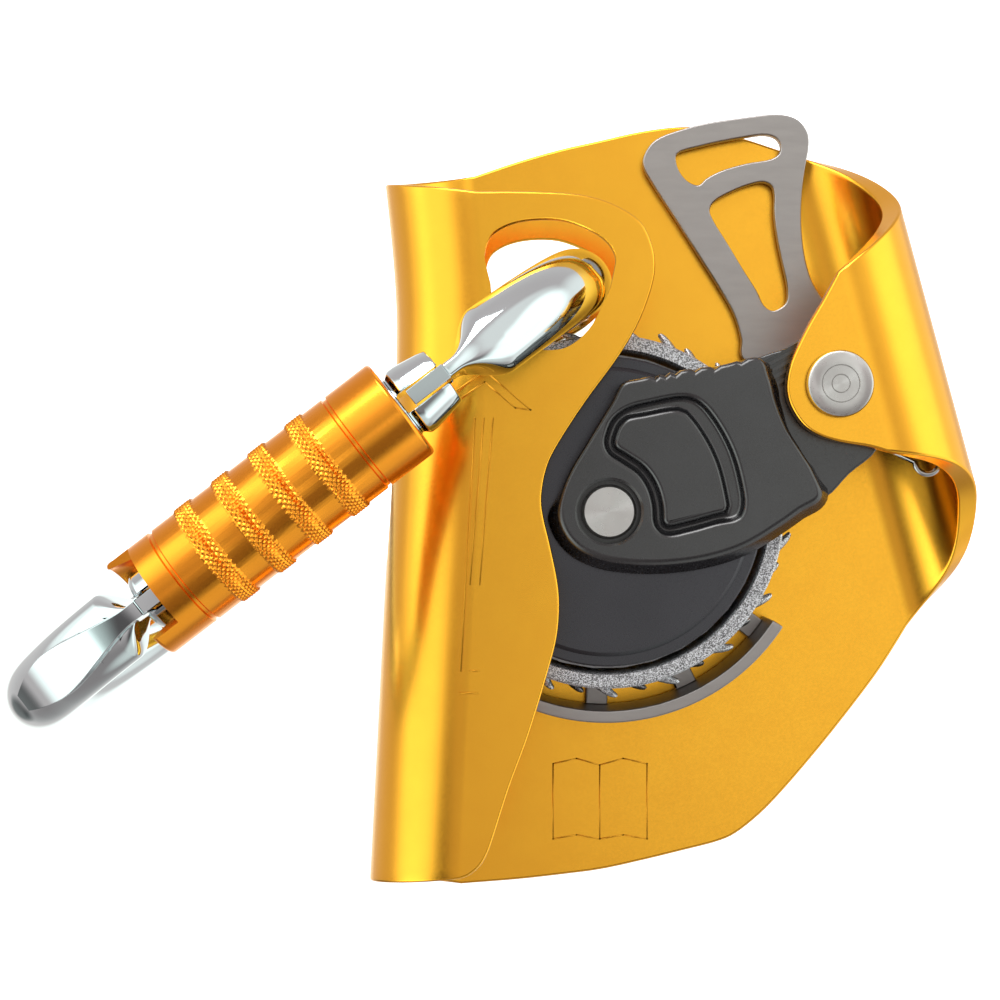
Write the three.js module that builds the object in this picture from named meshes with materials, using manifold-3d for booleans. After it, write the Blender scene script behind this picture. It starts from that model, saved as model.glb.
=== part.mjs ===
// Mobile fall arrester with its oval connector, in millimetres, +Z up.
// The rope runs along Z through the origin, X points from the rope to the arm pivot and
// Y points from the front flap to the back plate.
import * as THREE from "three";
import { mergeVertices } from "three/addons/utils/BufferGeometryUtils.js";
import Module from "manifold-3d";

const wasm = await Module();
wasm.setup();
const { Manifold, Mesh: SolidMesh } = wasm;

// Clearances
const seat = 0.3;
const runningGap = 0.8;
const wheelGap = 1;
const overrun = 1;
const weld = 1e-4;

// Folded frame
const frameWidth = 88;
const frameHeight = 117;
const sheet = 3;
const foldRadius = 13.5;
const foldLap = 1;
const pivotToFold = 4.25;
const rightFoldTilt = THREE.MathUtils.degToRad(15.1);
const earSize = 26;
const holeSize = 19;
const holeX = 13.9;
const holeZ = 32.7;

// Arm pivot
const rivetHeadRadius = 4.8;
const rivetHeadHeight = 1.5;
const rivetShankRadius = 3;
const bushWall = 1;
const springWireRadius = 0.45;
const springTurns = 4;
const springCoilLength = 5.2;
const springLoopWidth = 3.6;
const springLegAngle = THREE.MathUtils.degToRad(-20);
const springLegReach = 12;
const springLoopX = 12.6;
const springLoopZ = -11;
const springLoopY = -4.5;

// Arm
const hubReach = 9.25;
const armTilt = THREE.MathUtils.degToRad(29.1);
const coverHeight = 5.2;
const coverBevel = 1.6;
const axleHeadRadius = 3.95;
const axleHeadHeight = 1.3;
const axleRadius = 3;
const axleRecessRadius = 4.8;
const axleRecessDepth = 3;
const pocketDepth = 1.3;
const springChamberRadius = 7.2;
const springChamberLength = 6.8;
const leverReach = 42.4;
const leverThickness = 2;
const pivotDiscRadius = 6.8;
const axleDiscRadius = 8;
const guardGap = 2.2;
const guardBand = 1.8;
const guardDepth = 12.2;
const guardSpokeWidth = 3.4;
const guardStart = THREE.MathUtils.degToRad(-125);
const guardEnd = THREE.MathUtils.degToRad(-33);

// Wheel and its speed brake
const wheelX = 22.5;
const wheelZ = 0;
const wheelRadius = 26;
const wheelWidth = 12;
const ringThickness = 2.3;
const spikeHeight = 1.4;
const spikeBase = 2;
const spikeWidth = 2.4;
const spikeCount = 36;
const spikeRowOffset = 3;
const housingGap = 1;
const housingThickness = 2.9;
const housingOverhang = 1.5;
const housingStep = 0.6;
const housingStepWidth = 1.5;
const webThickness = 2.4;
const webHubRadius = 7;
const bearingWall = 1.6;
const drumInset = 1.2;
const drumThickness = 2;
const drumToothHeight = 1;
const drumTeeth = 12;
const pawlRadius = 13.2;
const pawlWidth = 4.4;
const pawlArc = THREE.MathUtils.degToRad(80);
const pawlPinRadius = 1.2;
const pawlPinHeadRadius = 1.9;
const pawlPinHeadHeight = 0.7;

// Oval connector
const connectorLength = 110;
const connectorWidth = 60;
const barRadius = 5.3;
const connectorTilt = THREE.MathUtils.degToRad(37.6);
const connectorX = -21.2;
const connectorY = -1.5;
const connectorZ = 3.2;
const gateHeadRadius = 5.2;
const gateRadius = 4.6;
const gateNose = 0.2;
const gateHeadLength = 6.6;
const slotDepth = 6.6;
const gateTail = 0.8;
const webPlate = 2.3;
const webHeight = 6.8;
const webRoot = 1;
const noseLength = 6;
const hingeNoseLength = 3.5;
const hingeInset = 3;
const hingeWebInset = 1;
const gateRivetRadius = 1.25;
const gateRivetLength = 8;
const sleeveRadius = 7.6;
const sleeveBore = 5.9;
const sleeveLength = 45.5;
const sleeveFlare = 1;
const sleeveFlareLength = 4.5;
const sleeveGroove = 0.5;
const bandHeight = 0.35;
const bandWidth = 3.2;
const bandPitch = 6.35;
const bandCount = 4;
const firstBandInset = 11.9;
const endGrooveInset = 7.8;
const grooveWidth = 1.2;
const notchDepth = 4.1;
const notchStart = THREE.MathUtils.degToRad(-40);
const notchEnd = THREE.MathUtils.degToRad(88);
const collarLength = 5;
const collarInset = 12.3;
const sleeveSpringTurns = 5;
const sleeveSpringWire = 0.3;
const gateBore = 2.7;
const gateBoreDepth = 26;
const plungerLength = 7;
const gateSpringTurns = 5;
const gateSpringWire = 0.35;
const guidePinRadius = 1;
const guidePinInset = 3.5;

// Steps in round shapes
const fineSteps = 32;
const ringSteps = 54;
const coarseSteps = 16;
const foldSteps = 12;
const foldRows = 16;
const wireSides = 6;
const coilSides = 5;
const coilSteps = 8;
const loopSteps = 6;
const nearlyParallel = 0.95;
const bendSteps = 12;
const noseSteps = 5;
const barSides = 20;

// Sizes that follow the wheel
const tipRadius = wheelRadius + spikeHeight;
const housingRadius = wheelRadius - ringThickness - housingGap;
const drumOuterRadius = housingRadius - drumInset;
const innerWidth = 2 * (wheelWidth / 2 + housingOverhang - housingThickness - seat);
const guardOuterRadius = tipRadius + guardGap + guardBand;
const armLength = tipRadius + wheelGap + hubReach;
const pivotX = wheelX + armLength * Math.cos(armTilt);
const pivotZ = wheelZ + armLength * Math.sin(armTilt);
const rightFoldOffset =
  pivotX * Math.cos(rightFoldTilt) + pivotZ * Math.sin(rightFoldTilt) + pivotToFold;

// Planes along Y
const flapFront = -foldRadius;
const flapBack = flapFront + sheet;
const plateBack = foldRadius;
const plateFront = plateBack - sheet;
const leverBack = plateFront - runningGap;
const leverFront = leverBack - leverThickness;
const hubFront = flapBack + runningGap;
const hubBack = leverFront - seat;
const housingFront = -wheelWidth / 2 - housingOverhang;
const coverBack = housingFront - seat;
const coverFront = coverBack - coverHeight;

// Outline of the front flap, top to bottom, as shares of the frame's width and height
const flapEdgeShares = [
  [0.11, 0.393], [0.208, 0.389], [0.26, 0.378], [0.307, 0.355], [0.325, 0.327], [0.33, 0.306],
  [0.327, 0.283], [0.305, 0.235], [0.273, 0.193], [0.217, 0.135], [0.176, 0.088], [0.158, 0.063],
  [0.149, 0.04], [0.145, 0.013], [0.149, -0.009], [0.158, -0.037], [0.171, -0.085], [0.174, -0.114],
  [0.17, -0.153], [0.155, -0.197], [0.123, -0.276], [0.093, -0.337], [0.067, -0.398],
  [0.058, -0.417], [0.045, -0.434], [0.026, -0.446],
];
// Back plate, top edge left to right and bottom edge right to left, the same shares
const backTopShares = [
  [0.112, 0.462], [0.182, 0.477], [0.253, 0.489], [0.325, 0.501], [0.389, 0.507],
  [0.428, 0.506], [0.508, 0.491],
];
const backBottomShares = [
  [0.777, -0.169], [0.744, -0.208], [0.708, -0.245], [0.64, -0.31], [0.573, -0.369],
  [0.533, -0.4], [0.489, -0.426], [0.463, -0.435], [0.392, -0.449], [0.321, -0.462],
  [0.253, -0.473], [0.182, -0.48], [0.11, -0.486],
];
// Outermost line of the left fold, top to bottom, the same shares
const foldLineShares = [
  [-0.119, 0.43], [-0.106, 0.337], [-0.1, 0.278], [-0.098, 0.225], [-0.107, 0.025],
  [-0.116, -0.076], [-0.131, -0.293], [-0.145, -0.495],
];
// Cut heights of the left fold at the front and at the back, as shares of the height
const leftTopFrontShare = 0.393;
const leftTopBackShare = 0.442;
const leftBottomFrontShare = -0.45;
const leftBottomBackShare = -0.492;
// Cut lines of the right fold: share of the half turn from back to front, share of the height
const rightTopShares = [[0, -0.35], [0.23, -0.303], [0.5, -0.241], [0.71, -0.206], [1, -0.162]];
const rightBottomShares = [[0, 0.302], [0.29, 0.234], [0.5, 0.159], [0.72, 0.109], [1, 0.068]];
// Free edge of the ear round the pivot, as shares of the ear's size
const earShares = [
  [0.008, 0.585], [-0.092, 0.454], [-0.158, 0.342], [-0.223, 0.215], [-0.269, 0.104],
  [-0.288, -0.004], [-0.277, -0.088], [-0.238, -0.169], [-0.185, -0.235], [-0.104, -0.285],
  [0.008, -0.319], [0.173, -0.346],
];
// Connector hole, as shares of its size from its centre
const holeShares = [
  [-0.47, 0.1], [-0.49, 0.223], [-0.45, 0.359], [-0.369, 0.427], [-0.233, 0.478], [-0.062, 0.498],
  [0.109, 0.487], [0.281, 0.427], [0.4, 0.359], [0.477, 0.273], [0.503, 0.188], [0.486, 0.085],
  [0.461, -0.025], [0.4, -0.16], [0.328, -0.3], [0.222, -0.42], [0.115, -0.485],
  [0.024, -0.5], [-0.11, -0.5], [-0.3, -0.53], [-0.47, -0.44], [-0.5, -0.22], [-0.44, -0.05],
];
// Arm cover, its pocket and the arm end, as shares of the arm's length from the wheel axis
const coverShares = [
  [0.283, 0.405], [0.352, 0.388], [0.5, 0.34], [0.643, 0.283], [0.789, 0.232], [0.784, 0.161],
  [0.761, 0.064], [0.748, -0.037], [0.752, -0.148], [0.755, -0.237], [0.733, -0.339],
  [0.641, -0.348], [0.548, -0.358], [0.392, -0.363], [0.254, -0.338], [0.109, -0.284],
  [-0.024, -0.21], [-0.115, -0.138], [-0.171, -0.058], [-0.186, 0.024], [-0.166, 0.1],
  [-0.122, 0.155], [-0.051, 0.211], [0.045, 0.267], [0.141, 0.322], [0.218, 0.366],
];
const pocketShares = [
  [0.142, 0.269], [0.186, 0.301], [0.248, 0.311], [0.341, 0.289], [0.467, 0.241], [0.506, 0.193],
  [0.524, 0.101], [0.522, -0.021], [0.496, -0.137], [0.46, -0.226], [0.421, -0.257],
  [0.333, -0.234], [0.237, -0.211], [0.146, -0.178], [0.13, -0.13], [0.16, -0.059],
  [0.175, 0.007], [0.169, 0.075], [0.137, 0.141], [0.11, 0.195], [0.115, 0.236],
];
const armEndShares = [
  [0.7, 0.235], [0.816, 0.235], [0.917, 0.215], [1.03, 0.215], [1.13, 0.12], [1.18, 0],
  [1.16, -0.1], [1.1, -0.2], [1.022, -0.294], [0.884, -0.324], [0.762, -0.359], [0.68, -0.33],
];
// Lever and its two windows, as shares of the lever's reach from the pivot
const leverShares = [
  [-0.269, 0.12], [-0.274, 0.189], [-0.3, 0.278], [-0.347, 0.363], [-0.42, 0.479], [-0.51, 0.62],
  [-0.59, 0.743], [-0.625, 0.805], [-0.629, 0.842], [-0.601, 0.894], [-0.564, 0.92],
  [-0.491, 0.946], [-0.42, 0.965], [-0.274, 0.988], [-0.13, 1], [-0.068, 0.979],
  [-0.035, 0.934], [-0.031, 0.887], [-0.045, 0.804], [-0.057, 0.696], [-0.057, 0.587],
  [-0.042, 0.472], [-0.014, 0.387], [0.03, 0.32], [0.1, 0.22], [0.16, 0.12], [0.15, -0.1],
];
const upperWindowShares = [
  [-0.507, 0.858], [-0.42, 0.887], [-0.274, 0.917], [-0.184, 0.927], [-0.146, 0.913],
  [-0.132, 0.884], [-0.139, 0.858], [-0.165, 0.84], [-0.257, 0.823], [-0.347, 0.797],
  [-0.401, 0.769], [-0.429, 0.745], [-0.462, 0.755], [-0.491, 0.783], [-0.509, 0.823],
];
const lowerWindowShares = [
  [-0.389, 0.653], [-0.375, 0.684], [-0.311, 0.722], [-0.238, 0.75], [-0.193, 0.757],
  [-0.165, 0.743], [-0.156, 0.715], [-0.156, 0.642], [-0.144, 0.55], [-0.125, 0.46],
  [-0.108, 0.377], [-0.111, 0.325], [-0.137, 0.3], [-0.165, 0.292], [-0.193, 0.311],
  [-0.219, 0.363], [-0.264, 0.434], [-0.328, 0.54], [-0.375, 0.616],
];

// Colours from the photograph
const gold = new THREE.MeshStandardMaterial({ color: 0xe8a526, roughness: 0.35, metalness: 0.9 });
const orange = new THREE.MeshStandardMaterial({ color: 0xe8861c, roughness: 0.35, metalness: 0.9 });
const polished = new THREE.MeshStandardMaterial({ color: 0xd8dadc, roughness: 0.1, metalness: 1 });
const stainless = new THREE.MeshStandardMaterial({ color: 0xa8a6a6, roughness: 0.4, metalness: 1 });
const cast = new THREE.MeshStandardMaterial({ color: 0xc4c4c2, roughness: 0.6, metalness: 0.9 });
const black = new THREE.MeshStandardMaterial({ color: 0x1a1a1c, roughness: 0.4, metalness: 0.2 });
const bronze = new THREE.MeshStandardMaterial({ color: 0x9a6a34, roughness: 0.5, metalness: 0.9 });

// Solids and their joins
function toSolid(geometry) {
  const bare = geometry.clone();
  bare.deleteAttribute("normal");
  bare.deleteAttribute("uv");
  const merged = mergeVertices(bare, weld);
  const triVerts = new Uint32Array(merged.index.array);
  const vertProperties = merged.attributes.position.array;
  const solid = new Manifold(new SolidMesh({ numProp: 3, vertProperties, triVerts }));
  if (solid.volume() > 0) return solid;
  for (let i = 0; i < triVerts.length; i += 3) {
    [triVerts[i + 1], triVerts[i + 2]] = [triVerts[i + 2], triVerts[i + 1]];
  }
  return new Manifold(new SolidMesh({ numProp: 3, vertProperties, triVerts }));
}

function toGeometry(solid) {
  const { numProp, numVert, vertProperties, triVerts } = solid.getMesh();
  const positions = new Float32Array(numVert * 3);
  for (let i = 0; i < numVert; i++) {
    positions.set(vertProperties.subarray(i * numProp, i * numProp + 3), i * 3);
  }
  const geometry = new THREE.BufferGeometry();
  geometry.setAttribute("position", new THREE.BufferAttribute(positions, 3));
  geometry.setIndex(new THREE.BufferAttribute(triVerts, 1));
  const flat = geometry.toNonIndexed();
  flat.computeVertexNormals();
  return flat;
}

function join(geometries, cuts = []) {
  const joined = geometries.map(toSolid).reduce((whole, piece) => whole.add(piece));
  return toGeometry(cuts.map(toSolid).reduce((whole, piece) => whole.subtract(piece), joined));
}

function piece(name, geometry, material) {
  const mesh = new THREE.Mesh(toGeometry(toSolid(geometry)), material);
  mesh.name = name;
  return mesh;
}

function groupOf(meshes, x, y, z, tilt) {
  const group = new THREE.Group();
  group.position.set(x, y, z);
  group.rotation.y = -tilt;
  group.add(...meshes);
  return group;
}

// Outlines in the XZ plane
const scaled = (shares, width, height = width) => shares.map(([x, z]) => [x * width, z * height]);
const moved = (points, x, z) => points.map(([px, pz]) => [px + x, pz + z]);
const turned = (points, angle) =>
  points.map(([x, z]) => [
    x * Math.cos(angle) - z * Math.sin(angle),
    x * Math.sin(angle) + z * Math.cos(angle),
  ]);

function smooth(points, closed, stepsPerPoint = 2) {
  const curve = new THREE.CatmullRomCurve3(
    points.map(([x, z]) => new THREE.Vector3(x, 0, z)),
    closed,
    "centripetal",
  );
  const spaced = curve.getPoints(points.length * stepsPerPoint).map((p) => [p.x, p.z]);
  return closed ? spaced.slice(0, -1) : spaced;
}

function tableAt(points, value) {
  const last = points.length - 1;
  const next = Math.min(Math.max(points.findIndex(([key]) => key >= value), 1), last);
  const row = points[last][0] < value ? last : next;
  const [a, b] = [points[row - 1], points[row]];
  return THREE.MathUtils.mapLinear(value, a[0], b[0], a[1], b[1]);
}

// Primitives: every plate is drawn in XZ and runs from its back face towards the front
function prism(outline, back, depth, bevel = 0) {
  const shape = new THREE.Shape(outline.map(([x, z]) => new THREE.Vector2(x, z)));
  const geometry = new THREE.ExtrudeGeometry(shape, {
    depth: depth - 2 * bevel,
    bevelEnabled: bevel > 0,
    bevelThickness: bevel,
    bevelSize: bevel,
    bevelSegments: 2,
  });
  return geometry.rotateX(Math.PI / 2).translate(0, back - bevel, 0);
}

function disc(radius, back, depth, x = 0, z = 0, steps = fineSteps) {
  return new THREE.CylinderGeometry(radius, radius, depth, steps).translate(x, back - depth / 2, z);
}

function block(from, to) {
  const size = to.clone().sub(from);
  const middle = to.clone().add(from).multiplyScalar(0.5);
  return new THREE.BoxGeometry(size.x, size.y, size.z).translate(middle.x, middle.y, middle.z);
}

function turnedPiece(profile, steps = fineSteps) {
  return new THREE.LatheGeometry(
    profile.map(([radius, along]) => new THREE.Vector2(radius, along)),
    steps,
  );
}

const ringProfile = (inner, outer, from, to) => [
  [inner, from], [outer, from], [outer, to], [inner, to], [inner, from],
];

// A closed body from rings of points, each ring closed by a fan at its centre
function loft(rings) {
  const sides = rings[0].length;
  const centres = [rings[0], rings[rings.length - 1]].map((ring) =>
    ring.reduce((sum, p) => sum.add(p), new THREE.Vector3()).divideScalar(sides),
  );
  const positions = [...rings.flat(), ...centres].flatMap((p) => [p.x, p.y, p.z]);
  const index = [];
  const firstCentre = rings.length * sides;
  const lastRing = (rings.length - 1) * sides;
  for (let j = 0; j < sides; j++) {
    const next = (j + 1) % sides;
    for (let i = 0; i + 1 < rings.length; i++) {
      const [a, b] = [i * sides, (i + 1) * sides];
      index.push(a + j, b + j, b + next, a + j, b + next, a + next);
    }
    index.push(firstCentre, j, next, firstCentre + 1, lastRing + next, lastRing + j);
  }
  const geometry = new THREE.BufferGeometry();
  geometry.setAttribute("position", new THREE.Float32BufferAttribute(positions, 3));
  geometry.setIndex(index);
  return geometry;
}

// A bent sheet from two equal grids of points
function bentSheet(outer, inner) {
  const rows = outer.length;
  const columns = outer[0].length;
  const positions = [...outer.flat(), ...inner.flat()].flatMap((p) => [p.x, p.y, p.z]);
  const index = [];
  const under = rows * columns;
  const at = (i, j) => i * columns + j;
  const quad = (a, b, c, d) => index.push(a, b, c, a, c, d);
  for (let i = 0; i + 1 < rows; i++) {
    for (let j = 0; j + 1 < columns; j++) {
      quad(at(i, j), at(i + 1, j), at(i + 1, j + 1), at(i, j + 1));
      quad(under + at(i, j), under + at(i, j + 1), under + at(i + 1, j + 1), under + at(i + 1, j));
    }
    const [left, right] = [at(i, 0), at(i, columns - 1)];
    const [leftNext, rightNext] = [at(i + 1, 0), at(i + 1, columns - 1)];
    quad(left, under + left, under + leftNext, leftNext);
    quad(right, rightNext, under + rightNext, under + right);
  }
  for (let j = 0; j + 1 < columns; j++) {
    const [top, topNext] = [at(0, j), at(0, j + 1)];
    const [bottom, bottomNext] = [at(rows - 1, j), at(rows - 1, j + 1)];
    quad(top, topNext, under + topNext, under + top);
    quad(bottom, under + bottom, under + bottomNext, bottomNext);
  }
  const geometry = new THREE.BufferGeometry();
  geometry.setAttribute("position", new THREE.Float32BufferAttribute(positions, 3));
  geometry.setIndex(index);
  return geometry;
}

// A round bar or wire along a list of points
function tube(points, radius, sides) {
  let normal = new THREE.Vector3(0, 0, 1);
  const rings = points.map((point, i) => {
    const before = points[Math.max(i - 1, 0)];
    const after = points[Math.min(i + 1, points.length - 1)];
    const tangent = after.clone().sub(before).normalize();
    if (Math.abs(tangent.dot(normal)) > nearlyParallel) normal = new THREE.Vector3(1, 0, 0);
    normal = normal.clone().addScaledVector(tangent, -tangent.dot(normal)).normalize();
    const side = new THREE.Vector3().crossVectors(tangent, normal);
    return Array.from({ length: sides }, (_, j) => {
      const angle = (2 * Math.PI * j) / sides;
      return point
        .clone()
        .addScaledVector(normal, radius * Math.cos(angle))
        .addScaledVector(side, radius * Math.sin(angle));
    });
  });
  return loft(rings);
}

function coil(radius, wire, turns, length, place) {
  const steps = coilSteps * turns;
  const points = Array.from({ length: steps + 1 }, (_, i) => {
    const angle = (2 * Math.PI * i) / coilSteps;
    return place(radius * Math.cos(angle), radius * Math.sin(angle), (length * i) / steps);
  });
  return tube(points, wire, coilSides);
}

// Frame: one sheet folded round the rope on the left and back over the pivot on the right
const frameOutline = (shares) => scaled(shares, frameWidth, frameHeight);
const foldLine = smooth(frameOutline(foldLineShares), false)
  .map(([x, z]) => [z, x + foldRadius])
  .reverse();
const foldCentreX = (z) => tableAt(foldLine, z);
const mix = THREE.MathUtils.lerp;
const leftTop = (share) => frameHeight * mix(leftTopFrontShare, leftTopBackShare, share);
const leftBottom = (share) => frameHeight * mix(leftBottomFrontShare, leftBottomBackShare, share);

function leftFold() {
  const grid = (radius) =>
    Array.from({ length: foldRows + 1 }, (_, i) =>
      Array.from({ length: foldSteps + 1 }, (__, j) => {
        const share = j / foldSteps;
        const z = mix(leftTop(share), leftBottom(share), i / foldRows);
        const angle = Math.PI * share;
        return new THREE.Vector3(
          foldCentreX(z) - radius * Math.sin(angle),
          -radius * Math.cos(angle),
          z,
        );
      }),
    );
  return bentSheet(grid(foldRadius), grid(foldRadius - sheet));
}

const alongRight = (offset, along) => [
  offset * Math.cos(rightFoldTilt) + along * Math.sin(rightFoldTilt),
  offset * Math.sin(rightFoldTilt) - along * Math.cos(rightFoldTilt),
];
const rightTopCurve = smooth(rightTopShares, false, 4);
const rightBottomCurve = smooth(rightBottomShares, false, 4);
const rightTop = (share) => frameHeight * tableAt(rightTopCurve, share);
const rightBottom = (share) => frameHeight * tableAt(rightBottomCurve, share);

function rightFold() {
  const grid = (radius) =>
    Array.from({ length: foldRows + 1 }, (_, i) =>
      Array.from({ length: foldSteps + 1 }, (__, j) => {
        const share = j / foldSteps;
        const along = mix(rightTop(share), rightBottom(share), i / foldRows);
        const angle = Math.PI * share;
        const [x, z] = alongRight(rightFoldOffset + radius * Math.sin(angle), along);
        return new THREE.Vector3(x, radius * Math.cos(angle), z);
      }),
    );
  return bentSheet(grid(foldRadius), grid(foldRadius - sheet));
}

// The flats run a little way into the folds, so each outline ends on the fold's cut line
const lapShare = Math.asin(foldLap / foldRadius) / Math.PI;
const lapX = (z) => foldCentreX(z) - foldLap;
const lapOffset = rightFoldOffset + foldLap;

function foldSide(bottom, top) {
  return foldLine.filter(([z]) => z > bottom && z < top).map(([z]) => [lapX(z), z]);
}

function flapOutline() {
  const edge = frameOutline(flapEdgeShares);
  const [top, bottom] = [leftTop(lapShare), leftBottom(lapShare)];
  const free = smooth([[lapX(top), top], ...edge, [lapX(bottom), bottom]], false);
  return [...free, ...foldSide(bottom, top)];
}

function backOutline() {
  const [top, bottom] = [leftTop(1 - lapShare), leftBottom(1 - lapShare)];
  const upper = [
    [lapX(top), top],
    ...frameOutline(backTopShares),
    alongRight(lapOffset, rightTop(lapShare)),
  ];
  const lower = [
    alongRight(lapOffset, rightBottom(lapShare)),
    ...frameOutline(backBottomShares),
    [lapX(bottom), bottom],
  ];
  return [...smooth(upper, false), ...smooth(lower, false), ...foldSide(bottom, top)];
}

function earOutline() {
  const edge = moved(scaled(earShares, earSize), pivotX, pivotZ);
  const top = alongRight(lapOffset, rightTop(1 - lapShare));
  const bottom = alongRight(lapOffset, rightBottom(1 - lapShare));
  return smooth([top, ...edge, bottom], false);
}

function framePlate() {
  const hole = moved(scaled(holeShares, holeSize), holeX, holeZ);
  const rivetHole = rivetShankRadius + seat;
  const depth = 2 * foldRadius + 2 * overrun;
  return join(
    [
      prism(flapOutline(), flapBack, sheet),
      leftFold(),
      prism(backOutline(), plateBack, sheet),
      rightFold(),
      prism(earOutline(), flapBack, sheet),
    ],
    [
      prism(hole, plateBack + overrun, depth),
      disc(rivetHole, plateBack + overrun, depth, pivotX, pivotZ),
    ],
  );
}

// Pivot: a rivet through the ear, the arm's bush and the back plate
function pivotRivet() {
  const front = flapFront - seat;
  const back = plateBack + seat;
  const head = rivetHeadRadius;
  const edge = rivetHeadHeight / 3;
  const tail = rivetHeadHeight / 2;
  return turnedPiece([
    [0, front - rivetHeadHeight],
    [head - edge, front - rivetHeadHeight],
    [head, front - rivetHeadHeight + edge],
    [head, front],
    [rivetShankRadius, front],
    [rivetShankRadius, back],
    [head, back],
    [head, back + tail],
    [head - edge, back + rivetHeadHeight],
    [0, back + rivetHeadHeight],
  ]);
}

const bushInner = rivetShankRadius + seat;
const bushOuter = bushInner + bushWall;
const hubBore = bushOuter + seat;
const pivotBush = () => turnedPiece(ringProfile(bushInner, bushOuter, hubFront, leverBack));

// The return spring: a coil on the bush with one leg that ends in a loop below the ear
function torsionSpring() {
  const radius = bushOuter + seat + 2 * springWireRadius;
  const steps = coilSteps * springTurns;
  const first = -springCoilLength / 2;
  const coilPoints = Array.from({ length: steps + 1 }, (_, i) => {
    const angle = springLegAngle - Math.PI / 2 - (2 * Math.PI * (steps - i)) / coilSteps;
    const along = first + (springCoilLength * (steps - i)) / steps;
    return new THREE.Vector3(radius * Math.cos(angle), along, radius * Math.sin(angle));
  });
  const out = new THREE.Vector3(Math.cos(springLegAngle), 0, Math.sin(springLegAngle));
  const across = new THREE.Vector3(1, 0, 0);
  const end = coilPoints[coilPoints.length - 1];
  const leg = end.clone().addScaledVector(out, springLegReach);
  const loopTop = new THREE.Vector3(springLoopX, springLoopY, springLoopZ);
  const loop = Array.from({ length: loopSteps + 1 }, (_, i) => {
    const angle = Math.PI + (Math.PI * i) / loopSteps;
    return loopTop
      .clone()
      .addScaledVector(across, (springLoopWidth / 2) * (1 + Math.cos(angle)))
      .add(new THREE.Vector3(0, 0, (springLoopWidth / 2) * Math.sin(angle)));
  });
  const last = loop[loop.length - 1].clone().add(new THREE.Vector3(0, 0, springLoopWidth / 2));
  return tube([...coilPoints, leg, ...loop, last], springWireRadius, wireSides);
}

// Arm casting with the raised front cover and the hub that holds the spring
function armBody() {
  const cover = smooth(scaled(coverShares, armLength), true, 2);
  const pocket = smooth(scaled(pocketShares, armLength), true, 2);
  const island = pocket.map(([x, z]) => islandPoint(x, z));
  const hubDepth = hubBack - hubFront;
  const wheelClear = tipRadius + wheelGap;
  const chamberBack = springChamberLength / 2;
  const grooveFloor = coverFront + pocketDepth;
  return join(
    [
      prism(cover, coverBack, coverHeight, coverBevel),
      prism(smooth(scaled(armEndShares, armLength), true, 2), hubBack, hubDepth),
    ],
    [
      disc(wheelClear, hubBack + overrun, hubBack + overrun - coverBack, 0, 0, ringSteps),
      disc(hubBore, hubBack + overrun, hubDepth + 2 * overrun, armLength),
      disc(springChamberRadius, chamberBack, springChamberLength, armLength),
      block(
        new THREE.Vector3(armLength - springChamberRadius / 2, -chamberBack, -2 * springChamberRadius),
        new THREE.Vector3(armLength + 2 * springChamberRadius, chamberBack, springChamberRadius),
      ),
      disc(axleRecessRadius, coverFront + axleRecessDepth, axleRecessDepth + overrun),
      disc(axleRadius + seat, coverBack + overrun, coverHeight + 2 * overrun),
      toGeometry(
        toSolid(prism(pocket, grooveFloor, pocketDepth + overrun)).subtract(
          toSolid(prism(island, grooveFloor + overrun, pocketDepth + 3 * overrun)),
        ),
      ),
    ],
  );
}

const islandShare = 0.74;
const islandCentreShares = [0.33, 0.035];

function islandPoint(x, z) {
  const [centreX, centreZ] = islandCentreShares.map((share) => share * armLength);
  return [mix(centreX, x, islandShare), mix(centreZ, z, islandShare)];
}

// Stainless plate behind the wheel: release lever, axle seat and guard band in one
const fromPivot = turned([[-armLength, 0]], armTilt)[0];
const nearAxle = (points) => moved(points, ...fromPivot);

function arcPoints(radius, from, to, steps) {
  return Array.from({ length: steps + 1 }, (_, i) => {
    const angle = mix(from, to, i / steps);
    return [radius * Math.cos(angle), radius * Math.sin(angle)];
  });
}

function leverPlate() {
  const strap = turned(
    [
      [-armLength, axleDiscRadius],
      [0, pivotDiscRadius],
      [0, -pivotDiscRadius],
      [-armLength, -axleDiscRadius],
    ],
    armTilt,
  );
  const band = [
    ...arcPoints(guardOuterRadius, guardStart, guardEnd, coarseSteps),
    ...arcPoints(guardOuterRadius - guardBand, guardEnd, guardStart, coarseSteps),
  ];
  const spokeAngleShares = [0.06, 0.36, 0.66, 0.95];
  const spokes = spokeAngleShares.map((share) => {
    const angle = mix(guardStart, guardEnd, share);
    const half = guardSpokeWidth / 2;
    const reach = guardOuterRadius - guardBand / 2;
    return nearAxle(turned([[0, half], [0, -half], [reach, -half], [reach, half]], angle));
  });
  return join(
    [
      prism(smooth(scaled(leverShares, leverReach), true, 2), leverBack, leverThickness),
      prism(strap, leverBack, leverThickness),
      disc(pivotDiscRadius, leverBack, leverThickness),
      disc(axleDiscRadius, leverBack, leverThickness, ...fromPivot),
      prism(nearAxle(band), leverBack, guardDepth),
      ...spokes.map((spoke) => prism(spoke, leverBack, leverThickness)),
    ],
    [
      prism(
        smooth(scaled(upperWindowShares, leverReach), true, 2),
        leverBack + overrun,
        leverThickness + 2 * overrun,
      ),
      prism(
        smooth(scaled(lowerWindowShares, leverReach), true, 2),
        leverBack + overrun,
        leverThickness + 2 * overrun,
      ),
      disc(hubBore, leverBack + overrun, leverThickness + 2 * overrun),
      disc(axleRadius + seat, leverBack + overrun, leverThickness + 2 * overrun, ...fromPivot),
    ],
  );
}

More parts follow.
